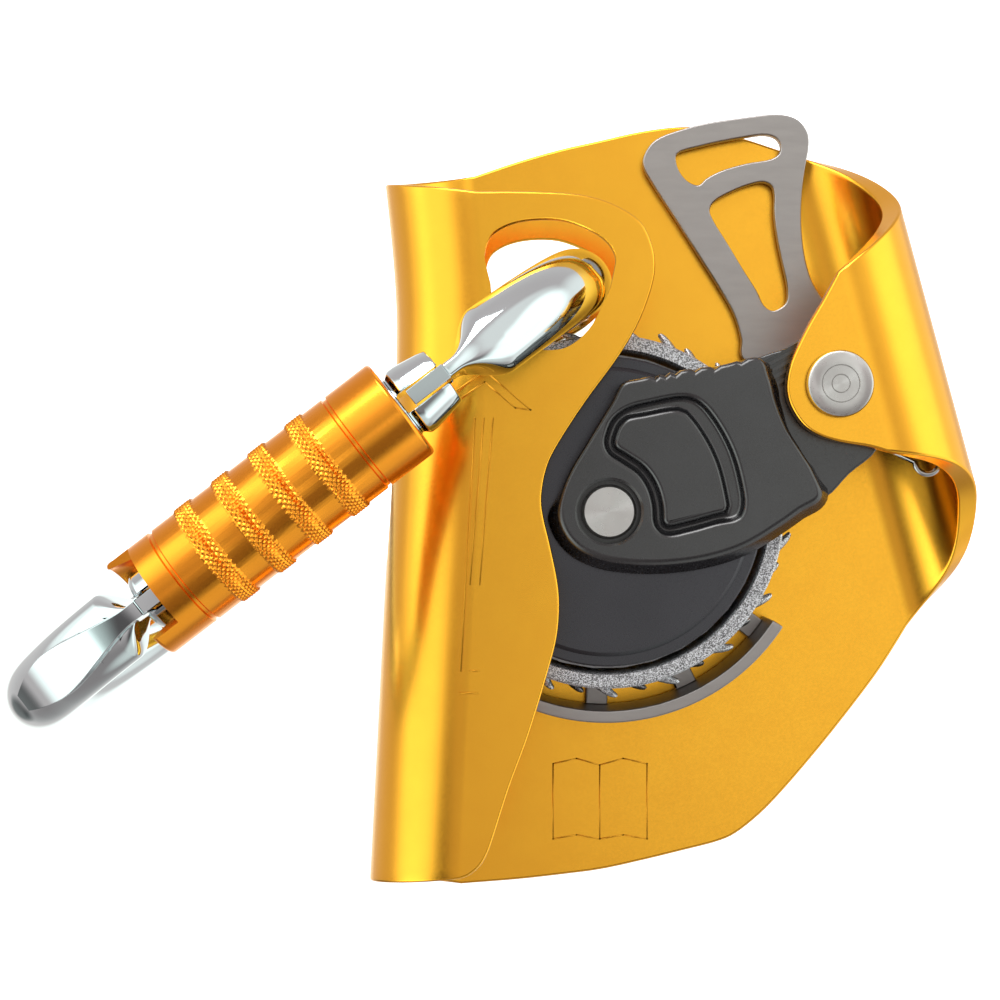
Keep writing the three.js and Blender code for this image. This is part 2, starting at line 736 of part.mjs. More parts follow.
function wheelAxle() {
  const under = coverFront + axleRecessDepth - seat;
  const front = under - axleHeadHeight;
  const edge = axleHeadHeight / 3;
  return turnedPiece([
    [0, front],
    [axleHeadRadius - edge, front],
    [axleHeadRadius, front + edge],
    [axleHeadRadius, under],
    [axleRadius, under],
    [axleRadius, leverBack],
    [0, leverBack],
  ]);
}

// Two fixed housing discs close the wheel's sides
function housing(outward) {
  const face = outward * Math.abs(housingFront);
  const step = face - outward * housingStep;
  const inner = face - outward * housingThickness;
  const bore = axleRadius + seat;
  return turnedPiece(
    [
      [bore, inner],
      [housingRadius, inner],
      [housingRadius, step],
      [housingRadius - housingStepWidth, step],
      [housingRadius - housingStepWidth - housingStep, face],
      [bore, face],
      [bore, inner],
    ],
    ringSteps,
  );
}

// Wheel: a spiked ring, its web and the bearing on the axle
function wheelRing() {
  const band = turnedPiece(
    ringProfile(wheelRadius - ringThickness, wheelRadius, -wheelWidth / 2, wheelWidth / 2),
    ringSteps,
  );
  const root = wheelRadius - ringThickness / 2;
  const tip = tipRadius;
  const spikes = Array.from({ length: spikeCount }, (_, i) => {
    const angle = (2 * Math.PI * i) / spikeCount;
    const row = i % 2 === 0 ? -spikeRowOffset : spikeRowOffset;
    const spike = [[root, -spikeBase / 2], [root, spikeBase / 2], [tip, spikeBase]];
    return prism(turned(spike, angle), row + spikeWidth / 2, spikeWidth);
  });
  return join([band, ...spikes]);
}

const bearingInner = axleRadius + seat;
const bearingOuter = bearingInner + bearingWall;
const webBore = bearingOuter + seat;
const webRadius = wheelRadius - ringThickness - seat;
const brakeFront = -innerWidth / 2;
const brakeBack = -webThickness / 2 - seat;

function wheelWeb() {
  const half = webThickness / 2;
  const hub = innerWidth / 2;
  return turnedPiece([
    [webBore, -hub],
    [webHubRadius, -hub],
    [webHubRadius, -half],
    [webRadius, -half],
    [webRadius, half],
    [webHubRadius, half],
    [webHubRadius, hub],
    [webBore, hub],
    [webBore, -hub],
  ]);
}

const wheelBearing = () =>
  turnedPiece(ringProfile(bearingInner, bearingOuter, -innerWidth / 2, innerWidth / 2));

// Speed brake: two weights on pins in the web swing out against a fixed toothed drum
const pawlStart = (i) => Math.PI * i - pawlArc / 2;

function pawlPin(i) {
  const [x, z] = turned([[pawlRadius, 0]], pawlStart(i))[0];
  const back = webThickness / 2 + seat + pawlPinHeadHeight;
  const shank = disc(pawlPinRadius, back, back - brakeFront, x, z, coarseSteps);
  const head = disc(pawlPinHeadRadius, back, pawlPinHeadHeight, x, z, coarseSteps);
  return join([shank, head]);
}

function pawl(i) {
  const [inner, outer] = [pawlRadius - pawlWidth / 2, pawlRadius + pawlWidth / 2];
  const end = pawlStart(i) + pawlArc;
  const outline = [
    ...arcPoints(outer, pawlStart(i), end, foldSteps),
    ...arcPoints(inner, end, pawlStart(i), foldSteps),
  ];
  const [x, z] = turned([[pawlRadius, 0]], pawlStart(i))[0];
  const depth = brakeBack - brakeFront;
  return join(
    [prism(outline, brakeBack, depth), disc(pawlWidth / 2, brakeBack, depth, x, z, coarseSteps)],
    [disc(pawlPinRadius + seat, brakeBack + overrun, depth + 2 * overrun, x, z, coarseSteps)],
  );
}

function ratchetDrum() {
  const inner = drumOuterRadius - drumThickness;
  const ring = turnedPiece(ringProfile(inner, drumOuterRadius, brakeFront, brakeBack), ringSteps);
  const halfPitch = Math.PI / drumTeeth;
  const root = inner + drumThickness / 2;
  const teeth = Array.from({ length: drumTeeth }, (_, i) => {
    const tooth = [[root, 0], [inner - drumToothHeight, 0], [root, root * Math.tan(halfPitch / 2)]];
    return prism(turned(tooth, 2 * halfPitch * i), brakeBack, brakeBack - brakeFront);
  });
  return join([ring, ...teeth]);
}

// Web bores for the two pins
function boredWeb() {
  const bores = [0, 1].map((i) => {
    const [x, z] = turned([[pawlRadius, 0]], pawlStart(i))[0];
    const depth = webThickness + 2 * overrun;
    return disc(pawlPinRadius + seat, depth / 2, depth, x, z, coarseSteps);
  });
  return join([wheelWeb()], bores);
}

// Connector, drawn with its long axis along X and its gate leg at the front
const legOffset = connectorWidth / 2 - barRadius;
const bendStart = connectorLength / 2 - connectorWidth / 2;
const gateTop = bendStart + gateNose;
const gateBottom = -bendStart + gateTail;
const bodyGapAngle = Math.asin((gateNose + seat) / legOffset);

// Half thickness of the bar at a distance from its end at the gate
function barHalf(distance, nose) {
  const share = Math.min(Math.max(distance / nose, 0), 1);
  return mix(webPlate / 2, barRadius, share * share * (3 - 2 * share));
}

function connectorBody() {
  const ring = (angle, x, half) => {
    const out = new THREE.Vector3(Math.cos(angle), Math.sin(angle), 0);
    return Array.from({ length: barSides }, (_, j) => {
      const around = (2 * Math.PI * j) / barSides;
      const reach = legOffset + barRadius * Math.cos(around);
      return out.clone().multiplyScalar(reach).add(new THREE.Vector3(x, 0, half * Math.sin(around)));
    });
  };
  const quarter = Math.PI / 2;
  const halfBend = (nose) => {
    const noseAngle = Math.asin((gateNose + seat + nose) / legOffset);
    const angles = [
      ...Array.from({ length: noseSteps }, (_, i) => mix(bodyGapAngle, noseAngle, i / noseSteps)),
      ...Array.from({ length: bendSteps + 1 }, (_, i) => mix(noseAngle, 2 * quarter, i / bendSteps)),
    ];
    return angles.map((angle) => {
      const distance = angle < quarter ? legOffset * Math.sin(angle) - gateNose - seat : nose;
      return [angle, barHalf(distance, nose)];
    });
  };
  const top = halfBend(noseLength).map(([angle, half]) => ring(angle - quarter, bendStart, half));
  const hinged = halfBend(hingeNoseLength).map(([angle, half]) =>
    ring(3 * quarter - angle, -bendStart, half),
  );
  const bar = loft([...top, ...hinged.reverse()]);
  const web = (inset) =>
    block(
      new THREE.Vector3(gateTop - slotDepth + inset, -legOffset - webHeight / 2, -webPlate / 2),
      new THREE.Vector3(gateTop + webRoot, -legOffset + webHeight / 2, webPlate / 2),
    );
  const hinge = -bendStart + hingeInset;
  const bore = new THREE.CylinderGeometry(
    gateRivetRadius + seat,
    gateRivetRadius + seat,
    2 * webPlate,
    coarseSteps,
  )
    .rotateX(Math.PI / 2)
    .translate(hinge, -legOffset, 0);
  return join([bar, web(seat), web(hingeWebInset).scale(-1, 1, 1)], [bore]);
}

const alongLeg = (geometry) => geometry.rotateZ(-Math.PI / 2).translate(0, -legOffset, 0);
const headStart = gateTop - gateHeadLength;
const sleeveTop = headStart - seat;
const sleeveBottom = sleeveTop - sleeveLength;
const collarTop = sleeveTop - collarInset;
const collarBottom = collarTop - collarLength;
const guidePinX = collarBottom - guidePinInset;

function gateBarrel() {
  const turnedBar = alongLeg(
    turnedPiece(
      [
        [0, gateBottom],
        [gateRadius, gateBottom],
        [gateRadius, headStart],
        [gateHeadRadius, headStart],
        [gateHeadRadius, gateTop],
        [0, gateTop],
      ],
      fineSteps,
    ),
  );
  const slot = webPlate / 2 + seat;
  const slots = [1, -1].map((end) => {
    const outer = end * (gateTop + overrun);
    const inner = end * (gateTop - slotDepth);
    return block(
      new THREE.Vector3(Math.min(outer, inner), -legOffset - 2 * barRadius, -slot),
      new THREE.Vector3(Math.max(outer, inner), -legOffset + 2 * barRadius, slot),
    );
  });
  const bore = alongLeg(
    turnedPiece(
      [
        [0, gateBottom + slotDepth - overrun],
        [gateBore, gateBottom + slotDepth - overrun],
        [gateBore, gateBottom + gateBoreDepth],
        [0, gateBottom + gateBoreDepth],
      ],
      coarseSteps,
    ),
  );
  const pinHole = new THREE.CylinderGeometry(
    guidePinRadius + seat,
    guidePinRadius + seat,
    2 * gateRadius,
    coarseSteps,
  ).translate(guidePinX, -legOffset - gateRadius - gateBore + seat, 0);
  const rivetHole = new THREE.CylinderGeometry(
    gateRivetRadius + seat,
    gateRivetRadius + seat,
    4 * gateRadius,
    coarseSteps,
  )
    .rotateX(Math.PI / 2)
    .translate(-bendStart + hingeInset, -legOffset, 0);
  return join([turnedBar], [...slots, bore, pinHole, rivetHole]);
}

function guidePin() {
  const length = sleeveBore - gateBore - 3 * seat;
  return new THREE.CylinderGeometry(guidePinRadius, guidePinRadius, length, coarseSteps).translate(
    guidePinX,
    -legOffset - gateBore - 2 * seat - length / 2,
    0,
  );
}

function gateRivet() {
  return new THREE.CylinderGeometry(gateRivetRadius, gateRivetRadius, gateRivetLength, coarseSteps)
    .rotateX(Math.PI / 2)
    .translate(-bendStart + hingeInset, -legOffset, 0);
}

const boreStart = gateBottom + slotDepth + seat;
const plungerEnd = boreStart + plungerLength;

const gatePlunger = () =>
  alongLeg(
    turnedPiece(
      [[0, boreStart], [gateBore - seat, boreStart], [gateBore - seat, plungerEnd], [0, plungerEnd]],
      coarseSteps,
    ),
  );

function gateSpring() {
  const start = plungerEnd + seat + gateSpringWire;
  const length = gateBottom + gateBoreDepth - seat - gateSpringWire - start;
  const radius = gateBore - seat - gateSpringWire;
  return coil(
    radius,
    gateSpringWire,
    gateSpringTurns,
    length,
    (a, b, along) => new THREE.Vector3(start + along, -legOffset + a, b),
  );
}

// Knurled locking sleeve with its collar and spring
function lockingSleeve() {
  const groove = (at) => [
    [sleeveRadius, at - grooveWidth / 2],
    [sleeveRadius - sleeveGroove, at - grooveWidth / 4],
    [sleeveRadius - sleeveGroove, at + grooveWidth / 4],
    [sleeveRadius, at + grooveWidth / 2],
  ];
  const firstBand = sleeveBottom + firstBandInset;
  const bands = Array.from({ length: bandCount }, (_, i) => {
    const start = firstBand + bandPitch * i;
    return [
      [sleeveRadius, start],
      [sleeveRadius + bandHeight, start + bandHeight],
      [sleeveRadius + bandHeight, start + bandWidth - bandHeight],
      [sleeveRadius, start + bandWidth],
    ];
  });
  const edge = sleeveGroove;
  const body = turnedPiece([
    [sleeveBore, sleeveBottom + sleeveFlareLength],
    [sleeveBore + sleeveFlare, sleeveBottom],
    [sleeveRadius - edge, sleeveBottom],
    [sleeveRadius, sleeveBottom + edge],
    ...groove(sleeveBottom + endGrooveInset),
    ...bands.flat(),
    ...groove(sleeveTop - endGrooveInset),
    [sleeveRadius, sleeveTop - edge],
    [sleeveRadius - edge, sleeveTop],
    [sleeveBore, sleeveTop],
    [sleeveBore, sleeveBottom + sleeveFlareLength],
  ]);
  const reach = 2 * sleeveRadius;
  const opening = [[0, 0], ...arcPoints(reach, notchStart, notchEnd, foldSteps)];
  const notch = alongLeg(prism(opening, sleeveBottom + notchDepth, notchDepth + overrun));
  return join([alongLeg(body)], [notch]);
}

const sleeveCollar = () =>
  alongLeg(
    turnedPiece(ringProfile(gateRadius + seat, sleeveBore - seat, collarBottom, collarTop)),
  );

function sleeveSpring() {
  const start = collarTop + seat + sleeveSpringWire;
  const length = headStart - seat - sleeveSpringWire - start;
  return coil(
    (gateRadius + sleeveBore) / 2,
    sleeveSpringWire,
    sleeveSpringTurns,
    length,
    (a, b, along) => new THREE.Vector3(start + along, -legOffset + a, b),
  );
}

// Assembly
const frame = new THREE.Group();
frame.add(piece("frame_plate", framePlate(), gold));
frame.add(
  groupOf(
    [
      piece("pivot_rivet", pivotRivet(), stainless),
      piece("pivot_bush", pivotBush(), bronze),
      piece("torsion_spring", torsionSpring(), stainless),
      piece("lever_plate", leverPlate(), stainless),
    ],
    pivotX,
    0,
    pivotZ,
    0,
  ),
);

const arm = groupOf(
  [
    piece("arm_body", armBody(), black),
    piece("wheel_axle", wheelAxle(), stainless),
    piece("housing_front", housing(-1), black),
    piece("housing_rear", housing(1), black),
    piece("ratchet_drum", ratchetDrum(), stainless),
    piece("wheel_ring", wheelRing(), cast),
    piece("wheel_web", boredWeb(), stainless),
    piece("wheel_bearing", wheelBearing(), bronze),
    ...[0, 1].flatMap((i) => [
      piece(`pawl_pin_${i + 1}`, pawlPin(i), stainless),
      piece(`pawl_${i + 1}`, pawl(i), stainless),
    ]),
  ],
  wheelX,
  0,
  wheelZ,
  armTilt,
);

const connector = groupOf(
  [
    piece("connector_body", connectorBody(), polished),
    piece("gate_rivet", gateRivet(), polished),
    piece("gate_barrel", gateBarrel(), polished),
    piece("gate_plunger", gatePlunger(), stainless),
    piece("gate_spring", gateSpring(), stainless),
    piece("guide_pin", guidePin(), stainless),
    piece("locking_sleeve", lockingSleeve(), orange),
    piece("sleeve_collar", sleeveCollar(), bronze),
    piece("sleeve_spring", sleeveSpring(), stainless),
  ],
  connectorX,
  connectorY,
  connectorZ,
  connectorTilt,
);

const arrester = new THREE.Group();
arrester.add(frame, arm, connector);

export default arrester;
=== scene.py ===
"""Looks of a mobile fall arrester and its oval connector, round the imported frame.

Lengths are in millimetres until a mesh is made. The rope runs along Z through the origin,
X points from the rope to the arm's pivot, Y from the front flap to the back plate. Only the
camera and the lamp are placed in metres.
"""

import math

import bmesh
import bpy
from mathutils import Matrix, Vector


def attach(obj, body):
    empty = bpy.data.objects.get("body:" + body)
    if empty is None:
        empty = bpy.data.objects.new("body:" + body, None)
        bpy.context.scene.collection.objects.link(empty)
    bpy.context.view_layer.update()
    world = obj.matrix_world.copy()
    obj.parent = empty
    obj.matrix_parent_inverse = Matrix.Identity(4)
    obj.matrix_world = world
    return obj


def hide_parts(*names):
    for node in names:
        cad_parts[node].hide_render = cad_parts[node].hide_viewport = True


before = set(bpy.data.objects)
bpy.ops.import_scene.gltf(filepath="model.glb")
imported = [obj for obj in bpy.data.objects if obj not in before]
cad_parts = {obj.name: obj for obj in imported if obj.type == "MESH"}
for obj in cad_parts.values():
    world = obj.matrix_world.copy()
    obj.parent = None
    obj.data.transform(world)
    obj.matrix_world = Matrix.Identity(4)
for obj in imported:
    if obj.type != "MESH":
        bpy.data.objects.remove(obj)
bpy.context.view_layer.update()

MM = 0.001
TINY = 1e-6

# Clearances
SEAT = 0.3
RUNNING_GAP = 0.8
WHEEL_GAP = 1.0
OVERRUN = 1.0

# Folded frame
FRAME_WIDTH = 88.0
FRAME_HEIGHT = 117.0
SHEET = 3.0
FOLD_RADIUS = 13.5
RIGHT_FOLD_OFFSET = 62.5
RIGHT_FOLD_TILT = math.radians(15.1)
EAR_SIZE = 26.0
HOLE_SIZE = 19.0
HOLE_X = 13.9
HOLE_Z = 32.7
HOLE_LIP = 0.75
FOLD_STEPS = 40
FOLD_ROWS = 64

# Arm pivot
RIVET_HEAD_RADIUS = 4.8
RIVET_HEAD_HEIGHT = 1.5
RIVET_SHANK_RADIUS = 3.0
BUSH_WALL = 1.0
SPRING_WIRE_RADIUS = 0.45
SPRING_TURNS = 4
SPRING_COIL_LENGTH = 5.2
SPRING_LOOP_WIDTH = 3.6
SPRING_LEG_ANGLE = math.radians(-20)
SPRING_LEG_REACH = 12.0
SPRING_LOOP = (12.6, -4.5, -11.0)

# Arm
HUB_REACH = 9.25
ARM_TILT = math.radians(29.1)
COVER_HEIGHT = 5.2
COVER_BEVEL = 1.6
AXLE_HEAD_RADIUS = 3.95
AXLE_HEAD_HEIGHT = 2.4
AXLE_RADIUS = 3.0
AXLE_RECESS_RADIUS = 4.6
AXLE_RECESS_DEPTH = 3.0
POCKET_DEPTH = 1.3
SPRING_CHAMBER_RADIUS = 7.2
SPRING_CHAMBER_LENGTH = 6.8
SPRING_LEG_ROOM = 2.4
LEVER_REACH = 42.4
LEVER_THICKNESS = 2.0
PIVOT_DISC_RADIUS = 6.8
AXLE_DISC_RADIUS = 8.0
GUARD_OUTER_RADIUS = 31.4
GUARD_BAND = 1.8
GUARD_DEPTH = 12.2
GUARD_SPOKE_WIDTH = 3.4
GUARD_START = math.radians(-125)
GUARD_END = math.radians(-33)

# Wheel
WHEEL_X = 22.5
WHEEL_Z = 0.0
WHEEL_RADIUS = 26.0
WHEEL_WIDTH = 12.0
RING_THICKNESS = 2.3
SPIKE_HEIGHT = 1.4
SPIKE_BASE = 2.0
SPIKE_WIDTH = 2.4
SPIKE_COUNT = 36
SPIKE_ROW_OFFSET = 3.0
HOUSING_RADIUS = 22.7
HOUSING_THICKNESS = 2.9
HOUSING_STEP = 0.6
HOUSING_STEP_WIDTH = 1.5
HOUSING_OVERHANG = 1.5

# Connector
CONNECTOR_LENGTH = 110.0
CONNECTOR_WIDTH = 60.0
BAR_RADIUS = 5.3
CONNECTOR_TILT = math.radians(37.6)
CONNECTOR_PLACE = (-21.2, -1.5, 3.2)
GATE_HEAD_RADIUS = 5.2
GATE_RADIUS = 4.6
GATE_NOSE = 0.2
GATE_HEAD_LENGTH = 6.6
SLOT_DEPTH = 6.6
GATE_TAIL = 0.8
WEB_PLATE = 2.3
WEB_HEIGHT = 6.8
HINGE_INSET = 3.0
HINGE_WEB_INSET = 1.0
NOSE_WEB_INSET = 1.5
WEB_ROOT = 1.0
WEB_FRONT = BAR_RADIUS
PRONG_REACH = 0.4
TAIL_REACH = 2.0
NOSE_START = 1.8
NOSE_LENGTH = 6.5
HINGE_NOSE_START = 1.4
HINGE_NOSE_LENGTH = 4.2
KEEL_LENGTH = 19.6
KEEL_BED_SHARE = 0.72
GATE_RIVET_RADIUS = 1.25
SLEEVE_RADIUS = 7.6
SLEEVE_BORE = 5.9
SLEEVE_LENGTH = 45.5
SLEEVE_FLARE = 1.0
SLEEVE_FLARE_LENGTH = 4.5
SLEEVE_GROOVE = 0.3
BAND_HEIGHT = 0.35
BAND_WIDTH = 3.2
BAND_PITCH = 6.35
BAND_COUNT = 4
FIRST_BAND_INSET = 11.9
END_GROOVE_INSET = 7.8
GROOVE_WIDTH = 0.8
NOTCH_DEPTH = 4.1
NOTCH_START = math.radians(-40)
NOTCH_END = math.radians(88)

# Arm pivot, from the wheel
TIP_RADIUS = WHEEL_RADIUS + SPIKE_HEIGHT
ARM_LENGTH = TIP_RADIUS + WHEEL_GAP + HUB_REACH
PIVOT_X = WHEEL_X + ARM_LENGTH * math.cos(ARM_TILT)
PIVOT_Z = WHEEL_Z + ARM_LENGTH * math.sin(ARM_TILT)

# Planes along Y
FLAP_FRONT = -FOLD_RADIUS
FLAP_BACK = FLAP_FRONT + SHEET
PLATE_BACK = FOLD_RADIUS
PLATE_FRONT = PLATE_BACK - SHEET
LEVER_BACK = PLATE_FRONT - RUNNING_GAP
LEVER_FRONT = LEVER_BACK - LEVER_THICKNESS
HUB_FRONT = FLAP_BACK + RUNNING_GAP
HUB_BACK = LEVER_FRONT - SEAT
HOUSING_FACE = WHEEL_WIDTH / 2 + HOUSING_OVERHANG
COVER_BACK = -HOUSING_FACE - SEAT
COVER_FRONT = COVER_BACK - COVER_HEIGHT

# Outlines, as shares of the size that each one follows
FLAP_EDGE_SHARES = [
    (0.11, 0.393), (0.208, 0.389), (0.26, 0.378), (0.307, 0.355), (0.325, 0.327), (0.33, 0.306),
    (0.327, 0.283), (0.305, 0.235), (0.273, 0.193), (0.217, 0.135), (0.176, 0.088), (0.158, 0.063),
    (0.149, 0.04), (0.145, 0.013), (0.149, -0.009), (0.158, -0.037), (0.171, -0.085),
    (0.174, -0.114), (0.17, -0.153), (0.155, -0.197), (0.123, -0.276), (0.093, -0.337),
    (0.067, -0.398), (0.058, -0.417), (0.045, -0.434), (0.026, -0.446),
]
BACK_TOP_SHARES = [
    (0.112, 0.462), (0.182, 0.477), (0.253, 0.489), (0.325, 0.501), (0.389, 0.507),
    (0.428, 0.506), (0.508, 0.491),
]
BACK_BOTTOM_SHARES = [
    (0.777, -0.169), (0.744, -0.208), (0.708, -0.245), (0.64, -0.31), (0.573, -0.369),
    (0.533, -0.4), (0.489, -0.426), (0.463, -0.435), (0.392, -0.449), (0.321, -0.462),
    (0.253, -0.473), (0.182, -0.48), (0.11, -0.486),
]
FOLD_LINE_SHARES = [
    (-0.119, 0.43), (-0.106, 0.337), (-0.1, 0.278), (-0.098, 0.225), (-0.107, 0.025),
    (-0.116, -0.076), (-0.131, -0.293), (-0.145, -0.495),
]
LEFT_TOP_SHARES = (0.393, 0.442)
LEFT_BOTTOM_SHARES = (-0.45, -0.492)
RIGHT_TOP_SHARES = [(0, -0.35), (0.23, -0.303), (0.5, -0.241), (0.71, -0.206), (1, -0.162)]
RIGHT_BOTTOM_SHARES = [(0, 0.302), (0.29, 0.234), (0.5, 0.159), (0.72, 0.109), (1, 0.068)]
EAR_SHARES = [
    (-0.092, 0.454), (-0.158, 0.342), (-0.223, 0.215), (-0.269, 0.104),
    (-0.288, -0.004), (-0.277, -0.088), (-0.238, -0.169), (-0.185, -0.235), (-0.104, -0.285),
    (0.008, -0.319), (0.173, -0.346),
]
HOLE_SHARES = [
    (-0.47, 0.1), (-0.49, 0.223), (-0.45, 0.359), (-0.369, 0.427), (-0.233, 0.478),
    (-0.062, 0.498), (0.109, 0.487), (0.281, 0.427), (0.4, 0.359), (0.477, 0.273),
    (0.503, 0.188), (0.486, 0.085), (0.461, -0.025), (0.4, -0.16), (0.328, -0.3),
    (0.222, -0.42), (0.115, -0.485), (0.024, -0.5), (-0.11, -0.5), (-0.3, -0.53),
    (-0.47, -0.44), (-0.5, -0.22), (-0.44, -0.05),
]
COVER_SHARES = [
    (0.283, 0.405), (0.352, 0.388), (0.5, 0.34), (0.643, 0.283), (0.789, 0.232), (0.784, 0.161),
    (0.761, 0.064), (0.748, -0.037), (0.752, -0.148), (0.755, -0.237), (0.733, -0.339),
    (0.641, -0.348), (0.548, -0.358), (0.392, -0.363), (0.254, -0.338), (0.109, -0.284),
    (-0.024, -0.21), (-0.115, -0.138), (-0.171, -0.058), (-0.186, 0.024), (-0.166, 0.1),
    (-0.122, 0.155), (-0.051, 0.211), (0.045, 0.267), (0.141, 0.322), (0.218, 0.366),
]
POCKET_SHARES = [
    (0.142, 0.269), (0.186, 0.301), (0.248, 0.311), (0.341, 0.289), (0.467, 0.241),
    (0.506, 0.193), (0.524, 0.101), (0.522, -0.021), (0.496, -0.137), (0.46, -0.226),
    (0.421, -0.257), (0.333, -0.234), (0.237, -0.211), (0.146, -0.178), (0.13, -0.13),
    (0.16, -0.059), (0.175, 0.007), (0.169, 0.075), (0.137, 0.141), (0.11, 0.195), (0.115, 0.236),
]
ARM_END_SHARES = [
    (0.7, 0.235), (0.816, 0.235), (0.917, 0.215), (1.03, 0.215), (1.13, 0.12), (1.18, 0),
    (1.16, -0.1), (1.1, -0.2), (1.022, -0.294), (0.884, -0.324), (0.762, -0.359), (0.68, -0.33),
]
LEVER_SHARES = [
    (-0.269, 0.12), (-0.274, 0.189), (-0.3, 0.278), (-0.347, 0.363), (-0.42, 0.479),
    (-0.51, 0.62), (-0.59, 0.743), (-0.625, 0.805), (-0.629, 0.842), (-0.601, 0.894),
    (-0.564, 0.92), (-0.491, 0.946), (-0.42, 0.965), (-0.274, 0.988), (-0.13, 1),
    (-0.068, 0.979), (-0.035, 0.934), (-0.031, 0.887), (-0.045, 0.804), (-0.057, 0.696),
    (-0.057, 0.587), (-0.042, 0.472), (-0.014, 0.387), (0.03, 0.32), (0.1, 0.22), (0.16, 0.12),
    (0.15, -0.1),
]
UPPER_WINDOW_SHARES = [
    (-0.507, 0.858), (-0.42, 0.887), (-0.274, 0.917), (-0.184, 0.927), (-0.146, 0.913),
    (-0.132, 0.884), (-0.139, 0.858), (-0.165, 0.84), (-0.257, 0.823), (-0.347, 0.797),
    (-0.401, 0.769), (-0.429, 0.745), (-0.462, 0.755), (-0.491, 0.783), (-0.509, 0.823),
]
LOWER_WINDOW_SHARES = [
    (-0.389, 0.653), (-0.375, 0.684), (-0.311, 0.722), (-0.238, 0.75), (-0.193, 0.757),
    (-0.165, 0.743), (-0.156, 0.715), (-0.156, 0.642), (-0.144, 0.55), (-0.125, 0.46),
    (-0.108, 0.377), (-0.111, 0.325), (-0.137, 0.3), (-0.165, 0.292), (-0.193, 0.311),
    (-0.219, 0.363), (-0.264, 0.434), (-0.328, 0.54), (-0.375, 0.616),
]


# Outlines in the XZ plane
def scaled(shares, width, height=None):
    return [(x * width, z * (height or width)) for x, z in shares]


def moved(points, x, z):
    return [(px + x, pz + z) for px, pz in points]


def turned_by(points, angle):
    c, s = math.cos(angle), math.sin(angle)
    return [(x * c - z * s, x * s + z * c) for x, z in points]


def arc(radius, start, end, steps):
    angles = [start + (end - start) * i / steps for i in range(steps + 1)]
    return [(radius * math.cos(a), radius * math.sin(a)) for a in angles]


def smooth(points, closed=False, steps=4):
    """Centripetal Catmull-Rom curve through the points."""
    count = len(points)

    def at(i):
        if closed:
            return Vector(points[i % count])
        if i < 0:
            return 2 * Vector(points[0]) - Vector(points[1])
        if i >= count:
            return 2 * Vector(points[-1]) - Vector(points[-2])
        return Vector(points[i])

    curve = []
    for i in range(count if closed else count - 1):
        p0, p1, p2, p3 = (at(i + k) for k in (-1, 0, 1, 2))
        d0, d1, d2 = (
            max((b - a).length, TINY) ** 0.5 for a, b in ((p0, p1), (p1, p2), (p2, p3))
        )
        t1 = ((p1 - p0) / d0 - (p2 - p0) / (d0 + d1) + (p2 - p1) / d1) * d1
        t2 = ((p2 - p1) / d1 - (p3 - p1) / (d1 + d2) + (p3 - p2) / d2) * d1
        for step in range(steps):
            w = step / steps
            square = (-3 * p1 + 3 * p2 - 2 * t1 - t2) * w * w
            cube = (2 * p1 - 2 * p2 + t1 + t2) * w * w * w
            curve.append(tuple(p1 + t1 * w + square + cube))
    return curve if closed else curve + [tuple(points[-1])]


def table_at(points, value):
    """Straight-line value of a table of (key, value), held on past its ends."""
    rows = list(zip(points, points[1:]))
    for (k0, v0), (k1, v1) in rows:
        if value <= k1:
            return v0 + (v1 - v0) * (value - k0) / (k1 - k0)
    (k0, v0), (k1, v1) = rows[-1]
    return v0 + (v1 - v0) * (value - k0) / (k1 - k0)


def mix(a, b, share):
    return a + (b - a) * share


# Meshes
def linked(name, data):
    """A new object of the scene."""
    made = bpy.data.objects.new(name, data)
    bpy.context.scene.collection.objects.link(made)
    return made


def solid(points, faces, index=0):
    """A closed temporary object in metres, faces outward."""
    mesh = bpy.data.meshes.new("solid")
    mesh.from_pydata([tuple(Vector(p) * MM) for p in points], [], faces)
    work = bmesh.new()
    work.from_mesh(mesh)
    bmesh.ops.recalc_face_normals(work, faces=work.faces)
    for face in work.faces:
        face.smooth = True
        face.material_index = index
    work.to_mesh(mesh)
    work.free()
    return linked("solid", mesh)


def prism(outline, back, depth, index=0):
    count = len(outline)
    points = [(x, y, z) for y in (back, back - depth) for x, z in outline]
    faces = [tuple(range(count)), tuple(range(2 * count - 1, count - 1, -1))]
    for i in range(count):
        after = (i + 1) % count
        faces.append((i, after, count + after, count + i))
    return solid(points, faces, index)


def lathe(profile, steps=96, closed=False, x=0, z=0):
    """Profile of (radius, along Y), turned about the Y axis through (x, z)."""
    points, rings, faces = [], [], []
    for radius, along in profile:
        if radius < TINY:
            rings.append([len(points)])
            points.append((x, along, z))
            continue
        rings.append(list(range(len(points), len(points) + steps)))
        for j in range(steps):
            angle = 2 * math.pi * j / steps
            points.append((x + radius * math.cos(angle), along, z + radius * math.sin(angle)))
    following = rings[1:] + (rings[:1] if closed else [])
    for a, b in zip(rings, following):
        for j in range(steps):
            k = (j + 1) % steps
            corners = [a[j % len(a)], a[k % len(a)], b[k % len(b)], b[j % len(b)]]
            face = list(dict.fromkeys(corners))
            if len(face) > 2:
                faces.append(tuple(face))
    return solid(points, faces)


def disc(radius, back, depth, x=0, z=0):
    profile = [(0, back - depth), (radius, back - depth), (radius, back), (0, back)]
    return lathe(profile, x=x, z=z)


def block(low, high, index=0):
    xs, ys, zs = zip(low, high)
    points = [(x, y, z) for x in xs for y in ys for z in zs]
    faces = [(0, 1, 3, 2), (4, 6, 7, 5), (0, 4, 5, 1), (2, 3, 7, 6), (0, 2, 6, 4), (1, 5, 7, 3)]
    return solid(points, faces, index)


